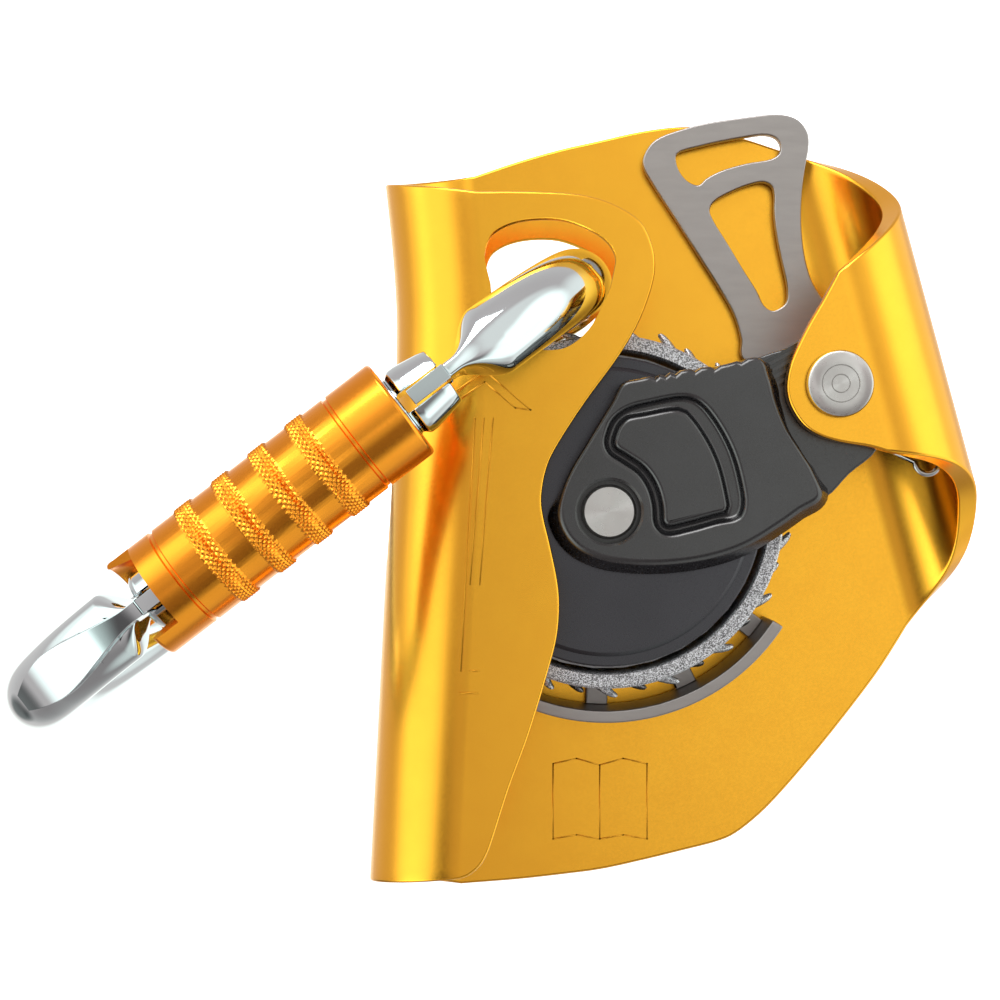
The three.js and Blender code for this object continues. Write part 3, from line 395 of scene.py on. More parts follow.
def loft(rings, index=0, closed=False):
    """Rings of points, with a face at each end or, closed, the last ring joined to the first."""
    sides = len(rings[0])
    points = [p for ring in rings for p in ring]
    count = len(points)
    faces = [] if closed else [tuple(range(sides)), tuple(range(count - 1, count - sides - 1, -1))]
    for i in range(len(rings) if closed else len(rings) - 1):
        for j in range(sides):
            a, b = i * sides + j, i * sides + (j + 1) % sides
            faces.append((a, b, (b + sides) % count, (a + sides) % count))
    return solid(points, faces, index)


def tube(path, radius, sides=12):
    """A round wire along a list of points."""
    normal = Vector((0, 0, 1))
    rings = []
    for i, point in enumerate(path):
        before, after = path[max(i - 1, 0)], path[min(i + 1, len(path) - 1)]
        tangent = (Vector(after) - Vector(before)).normalized()
        if abs(tangent.dot(normal)) > 0.95:
            normal = Vector((1, 0, 0))
        normal = (normal - tangent * tangent.dot(normal)).normalized()
        side = tangent.cross(normal)
        ring = []
        for j in range(sides):
            angle = 2 * math.pi * j / sides
            ring.append(Vector(point) + radius * (normal * math.cos(angle) + side * math.sin(angle)))
        rings.append(ring)
    return loft(rings)


def bake(made):
    """Turns an object's modifiers into its mesh."""
    graph = bpy.context.evaluated_depsgraph_get()
    graph.update()
    mesh = bpy.data.meshes.new_from_object(made.evaluated_get(graph), depsgraph=graph)
    made.modifiers.clear()
    made.data = mesh


def combine(base, others, operation):
    for other in others:
        modifier = base.modifiers.new("join", "BOOLEAN")
        modifier.operation = operation
        modifier.solver = "EXACT"
        modifier.object = other
    bake(base)
    for other in others:
        bpy.data.objects.remove(other)
    return base


def union(base, *others):
    return combine(base, others, "UNION")


def cut(base, *others):
    return combine(base, others, "DIFFERENCE")


def rounded(made, width, segments=3, angle=40):
    """Rounds the edges sharper than the angle."""
    modifier = made.modifiers.new("round", "BEVEL")
    modifier.width = width * MM
    modifier.segments = segments
    modifier.limit_method = "ANGLE"
    modifier.angle_limit = math.radians(angle)
    modifier.use_clamp_overlap = False
    bake(made)
    return made


def sharpened(made, angle=30):
    """Keeps flat faces flat in the shading and sharp edges sharp."""
    made.data.set_sharp_from_angle(angle=math.radians(angle))
    modifier = made.modifiers.new("normals", "WEIGHTED_NORMAL")
    modifier.mode = "FACE_AREA"
    modifier.weight = 100
    modifier.keep_sharp = True
    bake(made)
    return made


def placed(made, x=0, y=0, z=0, tilt=0):
    matrix = Matrix.Translation(Vector((x, y, z)) * MM) @ Matrix.Rotation(-tilt, 4, "Y")
    made.data.transform(matrix)
    return made


def dressed(made, name, body, materials, replaces=()):
    made.name = name
    made.data.name = name
    made.data.materials.clear()
    for material in materials:
        made.data.materials.append(material)
    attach(made, body)
    if replaces:
        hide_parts(*replaces)
    return made


# Materials
def linear(code):
    """Linear colour of a six-digit colour code."""
    values = [int(code[i : i + 2], 16) / 255 for i in (0, 2, 4)]
    return [v / 12.92 if v <= 0.04045 else ((v + 0.055) / 1.055) ** 2.4 for v in values] + [1]


NOISE_RANGE = (0.3, 0.7)
SPECKLE_RANGE = (0.44, 0.56)
BROAD_RATIO = 12
LEAST_ROUGHNESS = 0.02


def metal(
    name,
    colour,
    roughness,
    metallic=1.0,
    spread=0.04,
    shade=0.06,
    grain=900.0,
    bump=0.0,
    stretch=(1, 1, 1),
    specular=0.5,
    turned=0.0,
    speckled=False,
):
    """A surface whose colour, roughness and relief vary finely over it.

    Turned gives the gloss of turning marks round the piece's middle, and speckled shows the
    grain in the colour.
    """
    material = bpy.data.materials.new(name)
    material.use_nodes = True
    nodes, links = material.node_tree.nodes, material.node_tree.links
    shader = nodes["Principled BSDF"]
    shader.inputs["Metallic"].default_value = metallic
    shader.inputs["Specular IOR Level"].default_value = specular
    place = nodes.new("ShaderNodeTexCoord")
    mapping = nodes.new("ShaderNodeMapping")
    mapping.inputs["Scale"].default_value = stretch
    links.new(place.outputs["Object"], mapping.inputs["Vector"])
    fine, broad = nodes.new("ShaderNodeTexNoise"), nodes.new("ShaderNodeTexNoise")
    for noise, scale, detail in ((fine, grain, 4), (broad, grain / BROAD_RATIO, 2)):
        noise.inputs["Scale"].default_value = scale
        noise.inputs["Detail"].default_value = detail
        links.new(mapping.outputs["Vector"], noise.inputs["Vector"])
    ramp = nodes.new("ShaderNodeValToRGB")
    base = linear(colour)
    stops = SPECKLE_RANGE if speckled else NOISE_RANGE
    for element, factor, stop in zip(ramp.color_ramp.elements, (1 - shade, 1 + shade), stops):
        element.color = [min(c * factor, 1) for c in base[:3]] + [1]
        element.position = stop
    links.new((fine if speckled else broad).outputs["Fac"], ramp.inputs["Fac"])
    links.new(ramp.outputs["Color"], shader.inputs["Base Color"])
    gloss = nodes.new("ShaderNodeMapRange")
    gloss.inputs["From Min"].default_value = NOISE_RANGE[0]
    gloss.inputs["From Max"].default_value = NOISE_RANGE[1]
    gloss.inputs["To Min"].default_value = max(roughness - spread, LEAST_ROUGHNESS)
    gloss.inputs["To Max"].default_value = roughness + spread
    links.new(fine.outputs["Fac"], gloss.inputs["Value"])
    links.new(gloss.outputs["Result"], shader.inputs["Roughness"])
    if bump:
        relief = nodes.new("ShaderNodeBump")
        relief.inputs["Strength"].default_value = 1
        relief.inputs["Distance"].default_value = bump * MM
        links.new(fine.outputs["Fac"], relief.inputs["Height"])
        links.new(relief.outputs["Normal"], shader.inputs["Normal"])
    if turned:
        shader.inputs["Anisotropic"].default_value = turned
        around = nodes.new("ShaderNodeTangent")
        around.direction_type = "RADIAL"
        around.axis = "Y"
        links.new(around.outputs["Tangent"], shader.inputs["Tangent"])
    return material


gold = metal("gold_anodised", "FFBA39", 0.24, grain=2600, bump=0.0012, shade=0.02, spread=0.03)
# Darker, rougher gold for the inside faces of the folds: painted shade inside the bend
fold_inside_painted_shade = metal("painted_shade_gold_bend", "F4A834", 0.4, grain=2600, bump=0.0012, shade=0.02, spread=0.03)
gold_edge = metal("gold_cut_edge", "E8A97C", 0.5, metallic=0.35, grain=2400, bump=0.006, shade=0.05)
engraved = metal("engraved_mark", "D6942C", 0.4, grain=2600, bump=0.01)
orange = metal("orange_anodised", "FFA230", 0.22, grain=2600, bump=0.001, shade=0.03, spread=0.03)
polished = metal("polished_aluminium", "D7E3E6", 0.07, grain=700, spread=0.02, shade=0.02)
stainless = metal("satin_stainless", "A5A19F", 0.38, grain=2200, bump=0.004, stretch=(1, 1, 5), shade=0.04)
stainless_edge = metal("stainless_cut_edge", "C4C2C0", 0.3, grain=2000, bump=0.01)
turned_steel = metal("turned_steel", "C6C5C3", 0.3, grain=1600, bump=0.003, turned=0.85)
cast_steel = metal(
    "sandblasted_steel", "BCBEC2", 0.4, grain=6400, bump=0.04, shade=0.65, spread=0.15, speckled=True
)
# Dark brown steel for the spokes and the plate between them: painted shade of the wheel over them
spoke_painted_shade_steel = metal("painted_shade_spokes", "4A3830", 0.5, grain=2200, bump=0.01)
# Near-white, half-metallic steel for the ring's chamfers: a ground edge, painted lighter as a highlight
ring_chamfer_painted_highlight = metal("ground_steel_painted_highlight", "F2F2F4", 0.35, metallic=0.45, grain=1600, bump=0.003)
# Dark grey aluminium for the hinge web: painted shade where the polished web reflects a dark part of the
# studio
web_painted_shade = metal("painted_shade_aluminium", "5A5C64", 0.2, grain=1500, bump=0.002)
inner_steel = metal("machined_steel", "A0A0A2", 0.32, grain=1500, bump=0.004)
spring_steel = metal("spring_steel", "B4B4B4", 0.22, grain=1500, bump=0.002)
bronze = metal("sintered_bronze", "A9793F", 0.42, grain=2400, bump=0.01)
black = metal(
    "black_casting", "18181A", 0.24, metallic=0.0, grain=2600, bump=0.004, shade=0.15, specular=0.9
)
gloss_black = metal(
    "gloss_black", "4C4C50", 0.27, grain=1500, bump=0.002, spread=0.02, shade=0.04, turned=0.5
)


# Frame: one sheet, its two flats joined by the left fold and the ear by the right fold
FOLD_LINE = [
    (z, x + FOLD_RADIUS)
    for x, z in reversed(smooth(scaled(FOLD_LINE_SHARES, FRAME_WIDTH, FRAME_HEIGHT), steps=6))
]
RIGHT_TOP = smooth(RIGHT_TOP_SHARES, steps=8)
RIGHT_BOTTOM = smooth(RIGHT_BOTTOM_SHARES, steps=8)


def along_right(offset, along):
    c, s = math.cos(RIGHT_FOLD_TILT), math.sin(RIGHT_FOLD_TILT)
    return offset * c + along * s, offset * s - along * c


def left_fold_point(radius, row, column):
    share = column / FOLD_STEPS
    top = FRAME_HEIGHT * mix(*LEFT_TOP_SHARES, share)
    bottom = FRAME_HEIGHT * mix(*LEFT_BOTTOM_SHARES, share)
    z = mix(top, bottom, row / FOLD_ROWS)
    angle = math.pi * share
    x = table_at(FOLD_LINE, z) - radius * math.sin(angle)
    return x, -radius * math.cos(angle), z


def right_fold_point(radius, row, column):
    share = column / FOLD_STEPS
    top = FRAME_HEIGHT * table_at(RIGHT_TOP, share)
    bottom = FRAME_HEIGHT * table_at(RIGHT_BOTTOM, share)
    angle = math.pi * share
    offset = RIGHT_FOLD_OFFSET + radius * math.sin(angle)
    x, z = along_right(offset, mix(top, bottom, row / FOLD_ROWS))
    return x, radius * math.cos(angle), z


def folded_sheet():
    edge_slot, inner_shade_slot = 1, 2
    outer, inner, faces = [], [], []

    def add(out, under):
        outer.append(out)
        inner.append(under)
        return len(outer) - 1

    def fold(point_at):
        thin = FOLD_RADIUS - SHEET
        columns = range(FOLD_STEPS + 1)
        rows = range(FOLD_ROWS + 1)
        grid = [[add(point_at(FOLD_RADIUS, i, j), point_at(thin, i, j)) for j in columns] for i in rows]
        for i in range(FOLD_ROWS):
            for j in range(FOLD_STEPS):
                faces.append((grid[i][j], grid[i + 1][j], grid[i + 1][j + 1], grid[i][j + 1]))
        return grid

    def edge(points, y, inward):
        return [add((x, y, z), (x, y + inward, z)) for x, z in points]

    def run(grid, column):
        return [row[column] for row in grid]

    def joined(start, shares, end):
        frame_points = scaled(shares, FRAME_WIDTH, FRAME_HEIGHT)
        return smooth([start, *frame_points, end])[1:-1]

    def flat_of(index):
        return outer[index][0], outer[index][2]

    left, right = fold(left_fold_point), fold(right_fold_point)
    flap_side, back_side = run(left, 0), run(left, FOLD_STEPS)
    plate_side, ear_side = run(right, 0), run(right, FOLD_STEPS)
    flap_edge = joined(flat_of(flap_side[0]), FLAP_EDGE_SHARES, flat_of(flap_side[-1]))
    faces.append(tuple(edge(flap_edge, FLAP_FRONT, SHEET) + flap_side[::-1]))
    upper = joined(flat_of(back_side[0]), BACK_TOP_SHARES, flat_of(plate_side[0]))
    lower = joined(flat_of(plate_side[-1]), BACK_BOTTOM_SHARES, flat_of(back_side[-1]))
    plate = edge(upper, PLATE_BACK, -SHEET) + plate_side + edge(lower, PLATE_BACK, -SHEET)
    faces.append(tuple((plate + back_side[::-1])[::-1]))
    ear_points = moved(scaled(EAR_SHARES, EAR_SIZE), PIVOT_X, PIVOT_Z)
    ear_edge = smooth([flat_of(ear_side[0]), *ear_points, flat_of(ear_side[-1])])[1:-1]
    faces.append(tuple(edge(ear_edge, FLAP_FRONT, SHEET) + ear_side[::-1]))

    mesh = bpy.data.meshes.new("sheet")
    count = len(outer)
    mesh.from_pydata([tuple(Vector(p) * MM) for p in outer + inner], [], faces)
    work = bmesh.new()
    work.from_mesh(mesh)
    work.verts.ensure_lookup_table()
    bmesh.ops.recalc_face_normals(work, faces=work.faces)
    outside = list(work.faces)
    rims = [e for e in work.edges if len(e.link_faces) == 1]
    rim_pairs = [(e.verts[0].index, e.verts[1].index) for e in rims]
    for face in outside:
        under = work.faces.new([work.verts[v.index + count] for v in reversed(face.verts)])
        # The inside faces of the folds take the darker gold: painted shade inside the bend
        under.material_index = inner_shade_slot if len(face.verts) == 4 else 0
    for a, b in rim_pairs:
        corners = (a, b, b + count, a + count)
        work.faces.new([work.verts[i] for i in corners]).material_index = edge_slot
    bmesh.ops.delete(work, geom=[v for v in work.verts if not v.link_faces], context="VERTS")
    bmesh.ops.recalc_face_normals(work, faces=work.faces)
    for face in work.faces:
        face.smooth = True
    work.to_mesh(mesh)
    work.free()
    return linked("sheet", mesh)


def hole_cutter():
    """The connector hole with a rounded lip on each face of both flats."""
    outline = smooth(scaled(HOLE_SHARES, HOLE_SIZE), closed=True, steps=3)
    lip_steps = 5
    angles = [math.pi / 2 * i / lip_steps for i in range(lip_steps + 1)]
    lip = [(HOLE_LIP * math.sin(a), HOLE_LIP * (1 - math.cos(a))) for a in angles]
    rings = []
    for outer_face, inner_face in ((FLAP_FRONT, FLAP_BACK), (PLATE_FRONT, PLATE_BACK)):
        levels = [(outer_face - OVERRUN, HOLE_LIP)]
        levels += [(outer_face + rise, out) for rise, out in lip]
        levels += [(inner_face - rise, out) for rise, out in reversed(lip)]
        levels.append((inner_face + OVERRUN, HOLE_LIP))
        for y, out in levels:
            factor = 1 + 2 * out / HOLE_SIZE
            rings.append([(HOLE_X + x * factor, y, HOLE_Z + z * factor) for x, z in outline])
    return loft(rings)


def plain_frame():
    edge_round = 0.4
    shading_angle = 32
    sheet = folded_sheet()
    for material in (gold, gold_edge, fold_inside_painted_shade):
        sheet.data.materials.append(material)
    depth = 2 * FOLD_RADIUS + 2 * OVERRUN
    rivet_bore = disc(RIVET_SHANK_RADIUS + SEAT, PLATE_BACK + OVERRUN, depth, PIVOT_X, PIVOT_Z)
    sheet = rounded(sheet, edge_round)
    for cutter in (hole_cutter(), rivet_bore):
        cutter.data.materials.append(gold)
        sheet = cut(sheet, cutter)
    return sharpened(sheet, shading_angle)


dressed(
    plain_frame(), "folded_frame", "frame", [gold, gold_edge, fold_inside_painted_shade], ["frame_plate"]
)


# Engraved arrow and lines on the flap, and an open book on the back plate
MARK_WIDTH = 0.22
MARK_RELIEF = 0.012
ARROW_STROKES = [
    [(-2.0, 15.6), (4.6, 20.2), (11.2, 14.6)],
    [(0.3, 15.7), (4.6, 18.6), (9.0, 14.9)],
    [(-2.0, 15.6), (0.3, 15.7)],
    [(11.2, 14.6), (9.0, 14.9)],
    [(3.2, 13.4), (1.2, -22.8)],
    [(4.5, 13.4), (2.5, -10.4)],
    [(5.8, 13.4), (3.9, -10.4)],
    [(2.5, -22.8), (3.8, -22.8)],
    [(1.0, -26.0), (3.6, -26.0)],
]
BOOK_STROKES = [
    [(15.0, -39.0), (15.0, -50.6), (18.6, -50.0), (22.2, -50.6), (25.8, -50.0), (29.5, -50.6)],
    [(15.0, -39.0), (18.6, -38.2), (22.2, -39.2), (25.8, -38.2), (29.5, -39.0), (29.5, -50.6)],
    [(22.2, -39.2), (22.2, -50.6)],
]
STROKE_FACES = [(0, 1, 2, 3), (7, 6, 5, 4), (0, 4, 5, 1), (1, 5, 6, 2), (2, 6, 7, 3), (3, 7, 4, 0)]


def strokes(lines, face, name):
    """Narrow flat ribbons that stand just proud of a face which looks toward -Y."""
    points, faces = [], []
    for line in lines:
        for (x0, z0), (x1, z1) in zip(line, line[1:]):
            along = Vector((x1 - x0, z1 - z0)).normalized() * MARK_WIDTH / 2
            side = Vector((-along[1], along[0]))
            start, end = Vector((x0, z0)) - along, Vector((x1, z1)) + along
            corners = [start - side, end - side, end + side, start + side]
            first = len(points)
            for y in (face - MARK_RELIEF, face + MARK_RELIEF):
                points += [(c[0], y, c[1]) for c in corners]
            faces += [tuple(first + i for i in f) for f in STROKE_FACES]
    marks = solid(points, faces)
    dressed(marks, name, "frame", [engraved])


strokes(ARROW_STROKES, FLAP_FRONT, "flap_arrow")
strokes(BOOK_STROKES, PLATE_FRONT, "book_symbol")


# Pivot rivet with rings turned into its head
def pivot_rivet():
    front = FLAP_FRONT - SEAT
    back = PLATE_BACK + SEAT
    head = RIVET_HEAD_RADIUS
    top = front - RIVET_HEAD_HEIGHT
    edge = RIVET_HEAD_HEIGHT / 3
    ring_shares = [0.3, 0.62]
    groove = 0.08
    profile = [(0, top)]
    for share in ring_shares:
        radius = (head - edge) * share
        profile += [(radius - groove, top), (radius, top + groove), (radius + groove, top)]
    profile += [(head - edge, top), (head - edge / 3, top + edge / 3), (head, top + edge)]
    profile += [(head, front), (RIVET_SHANK_RADIUS, front), (RIVET_SHANK_RADIUS, back)]
    profile += [(head, back), (head, back + edge), (head - edge, back + RIVET_HEAD_HEIGHT)]
    profile += [(0, back + RIVET_HEAD_HEIGHT)]
    return placed(sharpened(lathe(profile)), PIVOT_X, 0, PIVOT_Z)


dressed(pivot_rivet(), "turned_rivet", "frame", [turned_steel], ["pivot_rivet"])


BUSH_OUTER = RIVET_SHANK_RADIUS + SEAT + BUSH_WALL


def return_spring():
    radius = BUSH_OUTER + SEAT + 2 * SPRING_WIRE_RADIUS
    turn_steps = 24
    steps = turn_steps * SPRING_TURNS
    path = []
    for i in range(steps + 1):
        angle = SPRING_LEG_ANGLE - math.pi / 2 - 2 * math.pi * (steps - i) / turn_steps
        along = -SPRING_COIL_LENGTH / 2 + SPRING_COIL_LENGTH * (steps - i) / steps
        path.append(Vector((radius * math.cos(angle), along, radius * math.sin(angle))))
    out = Vector((math.cos(SPRING_LEG_ANGLE), 0, math.sin(SPRING_LEG_ANGLE)))
    path.append(path[-1] + out * SPRING_LEG_REACH)
    half = SPRING_LOOP_WIDTH / 2
    loop_steps = 16
    for i in range(loop_steps + 1):
        angle = math.pi + math.pi * i / loop_steps
        bend = Vector((half * (1 + math.cos(angle)), 0, half * math.sin(angle)))
        path.append(Vector(SPRING_LOOP) + bend)
    path.append(path[-1] + Vector((0, 0, half)))
    return placed(tube(path, SPRING_WIRE_RADIUS), PIVOT_X, 0, PIVOT_Z)


dressed(return_spring(), "return_spring", "frame", [spring_steel], ["torsion_spring"])


# Stainless lever plate with its guard band
def lever_plate():
    edge_slot, spoke_shade_slot = 1, 2
    edge_round = 0.25
    angle_room = 0.1
    band_room = 0.3
    disc_room_share = 1.3
    from_pivot = turned_by([(-ARM_LENGTH, 0)], ARM_TILT)[0]

    def near_axle(points):
        return moved(points, *from_pivot)

    strap = turned_by(
        [
            (-ARM_LENGTH, AXLE_DISC_RADIUS),
            (0, PIVOT_DISC_RADIUS),
            (0, -PIVOT_DISC_RADIUS),
            (-ARM_LENGTH, -AXLE_DISC_RADIUS),
        ],
        ARM_TILT,
    )
    band_steps = 64
    outside = near_axle(arc(GUARD_OUTER_RADIUS, GUARD_START, GUARD_END, band_steps))
    inside = near_axle(arc(GUARD_OUTER_RADIUS - GUARD_BAND, GUARD_START, GUARD_END, band_steps))
    front = LEVER_BACK - GUARD_DEPTH
    band = [
        [(*a, front), (*b, front), (*b, LEVER_BACK), (*a, LEVER_BACK)] for a, b in zip(outside, inside)
    ]
    band = [[(x, y, z) for x, z, y in ring] for ring in band]
    # The spokes are built in the dark steel: painted shade
    spoke_angle_shares = (0.06, 0.36, 0.66, 0.95)
    spokes = []
    for share in spoke_angle_shares:
        half = GUARD_SPOKE_WIDTH / 2
        reach = GUARD_OUTER_RADIUS - GUARD_BAND / 2
        bar = [(0, half), (0, -half), (reach, -half), (reach, half)]
        angle = mix(GUARD_START, GUARD_END, share)
        spokes.append(prism(near_axle(turned_by(bar, angle)), LEVER_BACK, LEVER_THICKNESS, spoke_shade_slot))
    lever = smooth(scaled(LEVER_SHARES, LEVER_REACH), closed=True)
    plate = union(
        prism(lever, LEVER_BACK, LEVER_THICKNESS),
        prism(strap, LEVER_BACK, LEVER_THICKNESS),
        disc(PIVOT_DISC_RADIUS, LEVER_BACK, LEVER_THICKNESS),
        disc(AXLE_DISC_RADIUS, LEVER_BACK, LEVER_THICKNESS, *from_pivot),
        loft(band),
        *spokes,
    )
    through = LEVER_THICKNESS + 2 * OVERRUN
    windows = [
        prism(smooth(scaled(shares, LEVER_REACH), closed=True), LEVER_BACK + OVERRUN, through, edge_slot)
        for shares in (UPPER_WINDOW_SHARES, LOWER_WINDOW_SHARES)
    ]
    bores = [
        disc(BUSH_OUTER + SEAT, LEVER_BACK + OVERRUN, through),
        disc(AXLE_RADIUS + SEAT, LEVER_BACK + OVERRUN, through, *from_pivot),
    ]
    plate = rounded(cut(plate, *windows, *bores), edge_round)
    spoke_start = disc_room_share * AXLE_DISC_RADIUS
    spoke_end = GUARD_OUTER_RADIUS - GUARD_BAND - band_room
    # Faces between the axle disc and the band, under the guard, take the dark steel: painted shade
    for face in plate.data.polygons:
        x, y, z = face.center / MM
        out = Vector((x, z)) - Vector(from_pivot)
        below = GUARD_START - angle_room < math.atan2(out[1], out[0]) < GUARD_END + angle_room
        if below and spoke_start < out.length < spoke_end:
            face.material_index = spoke_shade_slot
    return placed(sharpened(plate), PIVOT_X, 0, PIVOT_Z)


dressed(
    lever_plate(),
    "release_lever",
    "arm",
    [stainless, stainless_edge, spoke_painted_shade_steel],
    ["lever_plate"],
)


# Arm casting
COVER_TOP_EDGE_SHARES = ((0.36, 0.389), (0.8, 0.236))
NICK_SHARES = (0.08, 0.2, 0.28, 0.45, 0.6, 0.82)
NICK_SIZE = 0.5
COVER_TOP_ANGLE = math.radians(71)
COVER_LIP = 0.75
GROOVE_NARROW = 1.2
GROOVE_WIDE = 2.5
RECESS_LIP = 0.35
RIB_COUNT = 5
RIB_PITCH = 1.0
RIB_DEPTH = 0.6
RIB_START_X = 30.5
RIB_START_Z = 3.6


def outward(outline, i):
    """Outward normal at point i of an outline that runs clockwise."""
    before, after = Vector(outline[i - 1]), Vector(outline[(i + 1) % len(outline)])
    along = (after - before).normalized()
    return Vector((-along[1], along[0]))


def grown(outline, out, i):
    """Point i of an outline, moved along its own normal, less where that looks up the arm's top."""
    normal = outward(outline, i)
    top = normal.dot(Vector((math.cos(COVER_TOP_ANGLE), math.sin(COVER_TOP_ANGLE))))
    return tuple(Vector(outline[i]) + normal * out * min(max(1 - 2 * top, 0), 1))


def arm_casting():
    end_round = 0.35
    lip_segments = 4
    island_room_share = 0.95
    chamber_mouth_share = 0.8
    cover = smooth(scaled(COVER_SHARES, ARM_LENGTH), closed=True, steps=8)
    pocket = smooth(scaled(POCKET_SHARES, ARM_LENGTH), closed=True)
    normals = [outward(pocket, i) for i in range(len(pocket))]
    widths = [mix(GROOVE_NARROW, GROOVE_WIDE, max(normal[0], 0)) for normal in normals]
    inset = [Vector(point) - normal * width for point, normal, width in zip(pocket, normals, widths)]
    island = []
    for place in inset:
        rooms = zip(pocket, widths)
        if all((place - Vector(point)).length > island_room_share * width for point, width in rooms):
            island.append(tuple(place))
    middle = [sum(v) / len(cover) for v in zip(*cover)]
    skirt = []
    for y, out in ((COVER_BACK, COVER_BEVEL), (COVER_BACK - COVER_BEVEL, COVER_BEVEL), (COVER_FRONT, 0)):
        skirt.append([(*grown(cover, out, i), y) for i in range(len(cover))])
    top_start, top_end = (Vector(share) * ARM_LENGTH for share in COVER_TOP_EDGE_SHARES)
    for share in NICK_SHARES:
        at = top_start.lerp(top_end, share)
        nearest = min(range(len(cover)), key=lambda i: (Vector(cover[i]) - at).length)
        inward = (Vector(middle) - at).normalized() * NICK_SIZE
        x, z, y = skirt[-1][nearest]
        skirt[-1][nearest] = (x + inward[0], z + inward[1], y)
    rings = [[(x, y, z) for x, z, y in ring] for ring in skirt]
    raised = loft(rings)
    hub_depth = HUB_BACK - HUB_FRONT
    end_outline = smooth(scaled(ARM_END_SHARES, ARM_LENGTH), closed=True)
    end = rounded(prism(end_outline, HUB_BACK, hub_depth), end_round)
    clear = TIP_RADIUS + WHEEL_GAP
    chamber_back = SPRING_CHAMBER_LENGTH / 2
    mouth_x = ARM_LENGTH - SPRING_CHAMBER_RADIUS * chamber_mouth_share
    mouth_front = -chamber_back - SPRING_LEG_ROOM
    groove_floor = COVER_FRONT + POCKET_DEPTH
    end = cut(
        end,
        disc(clear, HUB_BACK + OVERRUN, HUB_BACK + OVERRUN - COVER_BACK),
        disc(BUSH_OUTER + SEAT, HUB_BACK + OVERRUN, hub_depth + 2 * OVERRUN, ARM_LENGTH),
        disc(SPRING_CHAMBER_RADIUS, chamber_back, SPRING_CHAMBER_LENGTH, ARM_LENGTH),
        block(
            (mouth_x, mouth_front, -2 * SPRING_CHAMBER_RADIUS),
            (ARM_LENGTH + 2 * SPRING_CHAMBER_RADIUS, chamber_back, SPRING_CHAMBER_RADIUS),
        ),
    )
    groove = cut(
        prism(pocket, groove_floor, POCKET_DEPTH + OVERRUN),
        prism(island, groove_floor + OVERRUN, POCKET_DEPTH + 3 * OVERRUN),
    )
    body = union(rounded(cut(raised, groove), COVER_LIP, segments=lip_segments), end)
    ribs = []
    for i in range(RIB_COUNT):
        low = RIB_START_Z + RIB_PITCH * i
        ribs.append(
            block(
                (RIB_START_X, HUB_FRONT - OVERRUN, low),
                (ARM_LENGTH, HUB_FRONT + RIB_DEPTH, low + RIB_PITCH / 2),
            )
        )
    floor, mouth = COVER_FRONT + AXLE_RECESS_DEPTH, COVER_FRONT - OVERRUN
    side = AXLE_RECESS_RADIUS
    slope = [(side, COVER_FRONT + RECESS_LIP), (side + RECESS_LIP + OVERRUN, mouth)]
    recess = lathe([(0, floor), (side, floor), *slope, (0, mouth)])
    through = disc(AXLE_RADIUS + SEAT, COVER_BACK + OVERRUN, COVER_HEIGHT + 2 * OVERRUN)
    body = cut(body, *ribs, recess, through)
    return placed(sharpened(body), WHEEL_X, 0, WHEEL_Z, ARM_TILT)


dressed(arm_casting(), "arm_casting", "arm", [black], ["arm_body"])


def wheel_axle():
    under = COVER_FRONT + AXLE_RECESS_DEPTH - SEAT
    front = under - AXLE_HEAD_HEIGHT
    edge = AXLE_HEAD_HEIGHT / 6
    profile = [(0, front), (AXLE_HEAD_RADIUS - edge, front), (AXLE_HEAD_RADIUS, front + edge)]
    profile += [(AXLE_HEAD_RADIUS, under), (AXLE_RADIUS, under), (AXLE_RADIUS, LEVER_BACK)]
    profile += [(0, LEVER_BACK)]
    return placed(sharpened(lathe(profile)), WHEEL_X, 0, WHEEL_Z, ARM_TILT)


dressed(wheel_axle(), "axle_head", "arm", [turned_steel], ["wheel_axle"])


def housing(side):
    disc_steps = 160
    face = side * HOUSING_FACE
    step = face - side * HOUSING_STEP
    inner = face - side * HOUSING_THICKNESS
    bore = AXLE_RADIUS + SEAT
    round_edge = 0.25
    profile = [(bore, inner), (HOUSING_RADIUS, inner)]
    profile += [(HOUSING_RADIUS, step - side * round_edge), (HOUSING_RADIUS - round_edge, step)]
    crease = HOUSING_RADIUS - HOUSING_STEP_WIDTH
    profile += [(crease, step), (crease - HOUSING_STEP, face), (bore, face)]
    return placed(sharpened(lathe(profile, disc_steps, closed=True)), WHEEL_X, 0, WHEEL_Z, ARM_TILT)


for side, node in ((-1, "housing_front"), (1, "housing_rear")):
    dressed(housing(side), node + "_disc", "arm", [gloss_black], [node])


# Spiked ring
def thorn(angle, row):
    """One hooked spike, thick at its root and leaning with the wheel's turn."""
    sides = 10
    root_share = 0.75
    tip_tilt = math.radians(35)
    path_shares = [(-1.0, -0.35), (-0.3, -0.2), (0.15, 0.05), (0.55, 0.42), (0.85, 0.78), (1.0, 0.98)]
    half_shares = [(1.1, 1.0), (0.95, 0.95), (0.72, 0.85), (0.5, 0.7), (0.36, 0.5), (0.18, 0.25)]
    rings = []
    for (out_share, lean_share), (across_share, deep_share) in zip(path_shares, half_shares):
        out = WHEEL_RADIUS + SPIKE_HEIGHT * out_share
        lean = SPIKE_BASE * lean_share
        across, deep = SPIKE_BASE * root_share * across_share, SPIKE_WIDTH / 2 * deep_share
        tilt = tip_tilt * max(out_share, 0)
        ring = []
        for j in range(sides):
            around = 2 * math.pi * j / sides
            shift = across * math.cos(around)
            flat = (out - shift * math.sin(tilt), lean + shift * math.cos(tilt))
            x, z = turned_by([flat], angle)[0]
            ring.append((x, row + deep * math.sin(around), z))
        rings.append(ring)
    return loft(rings, 1)


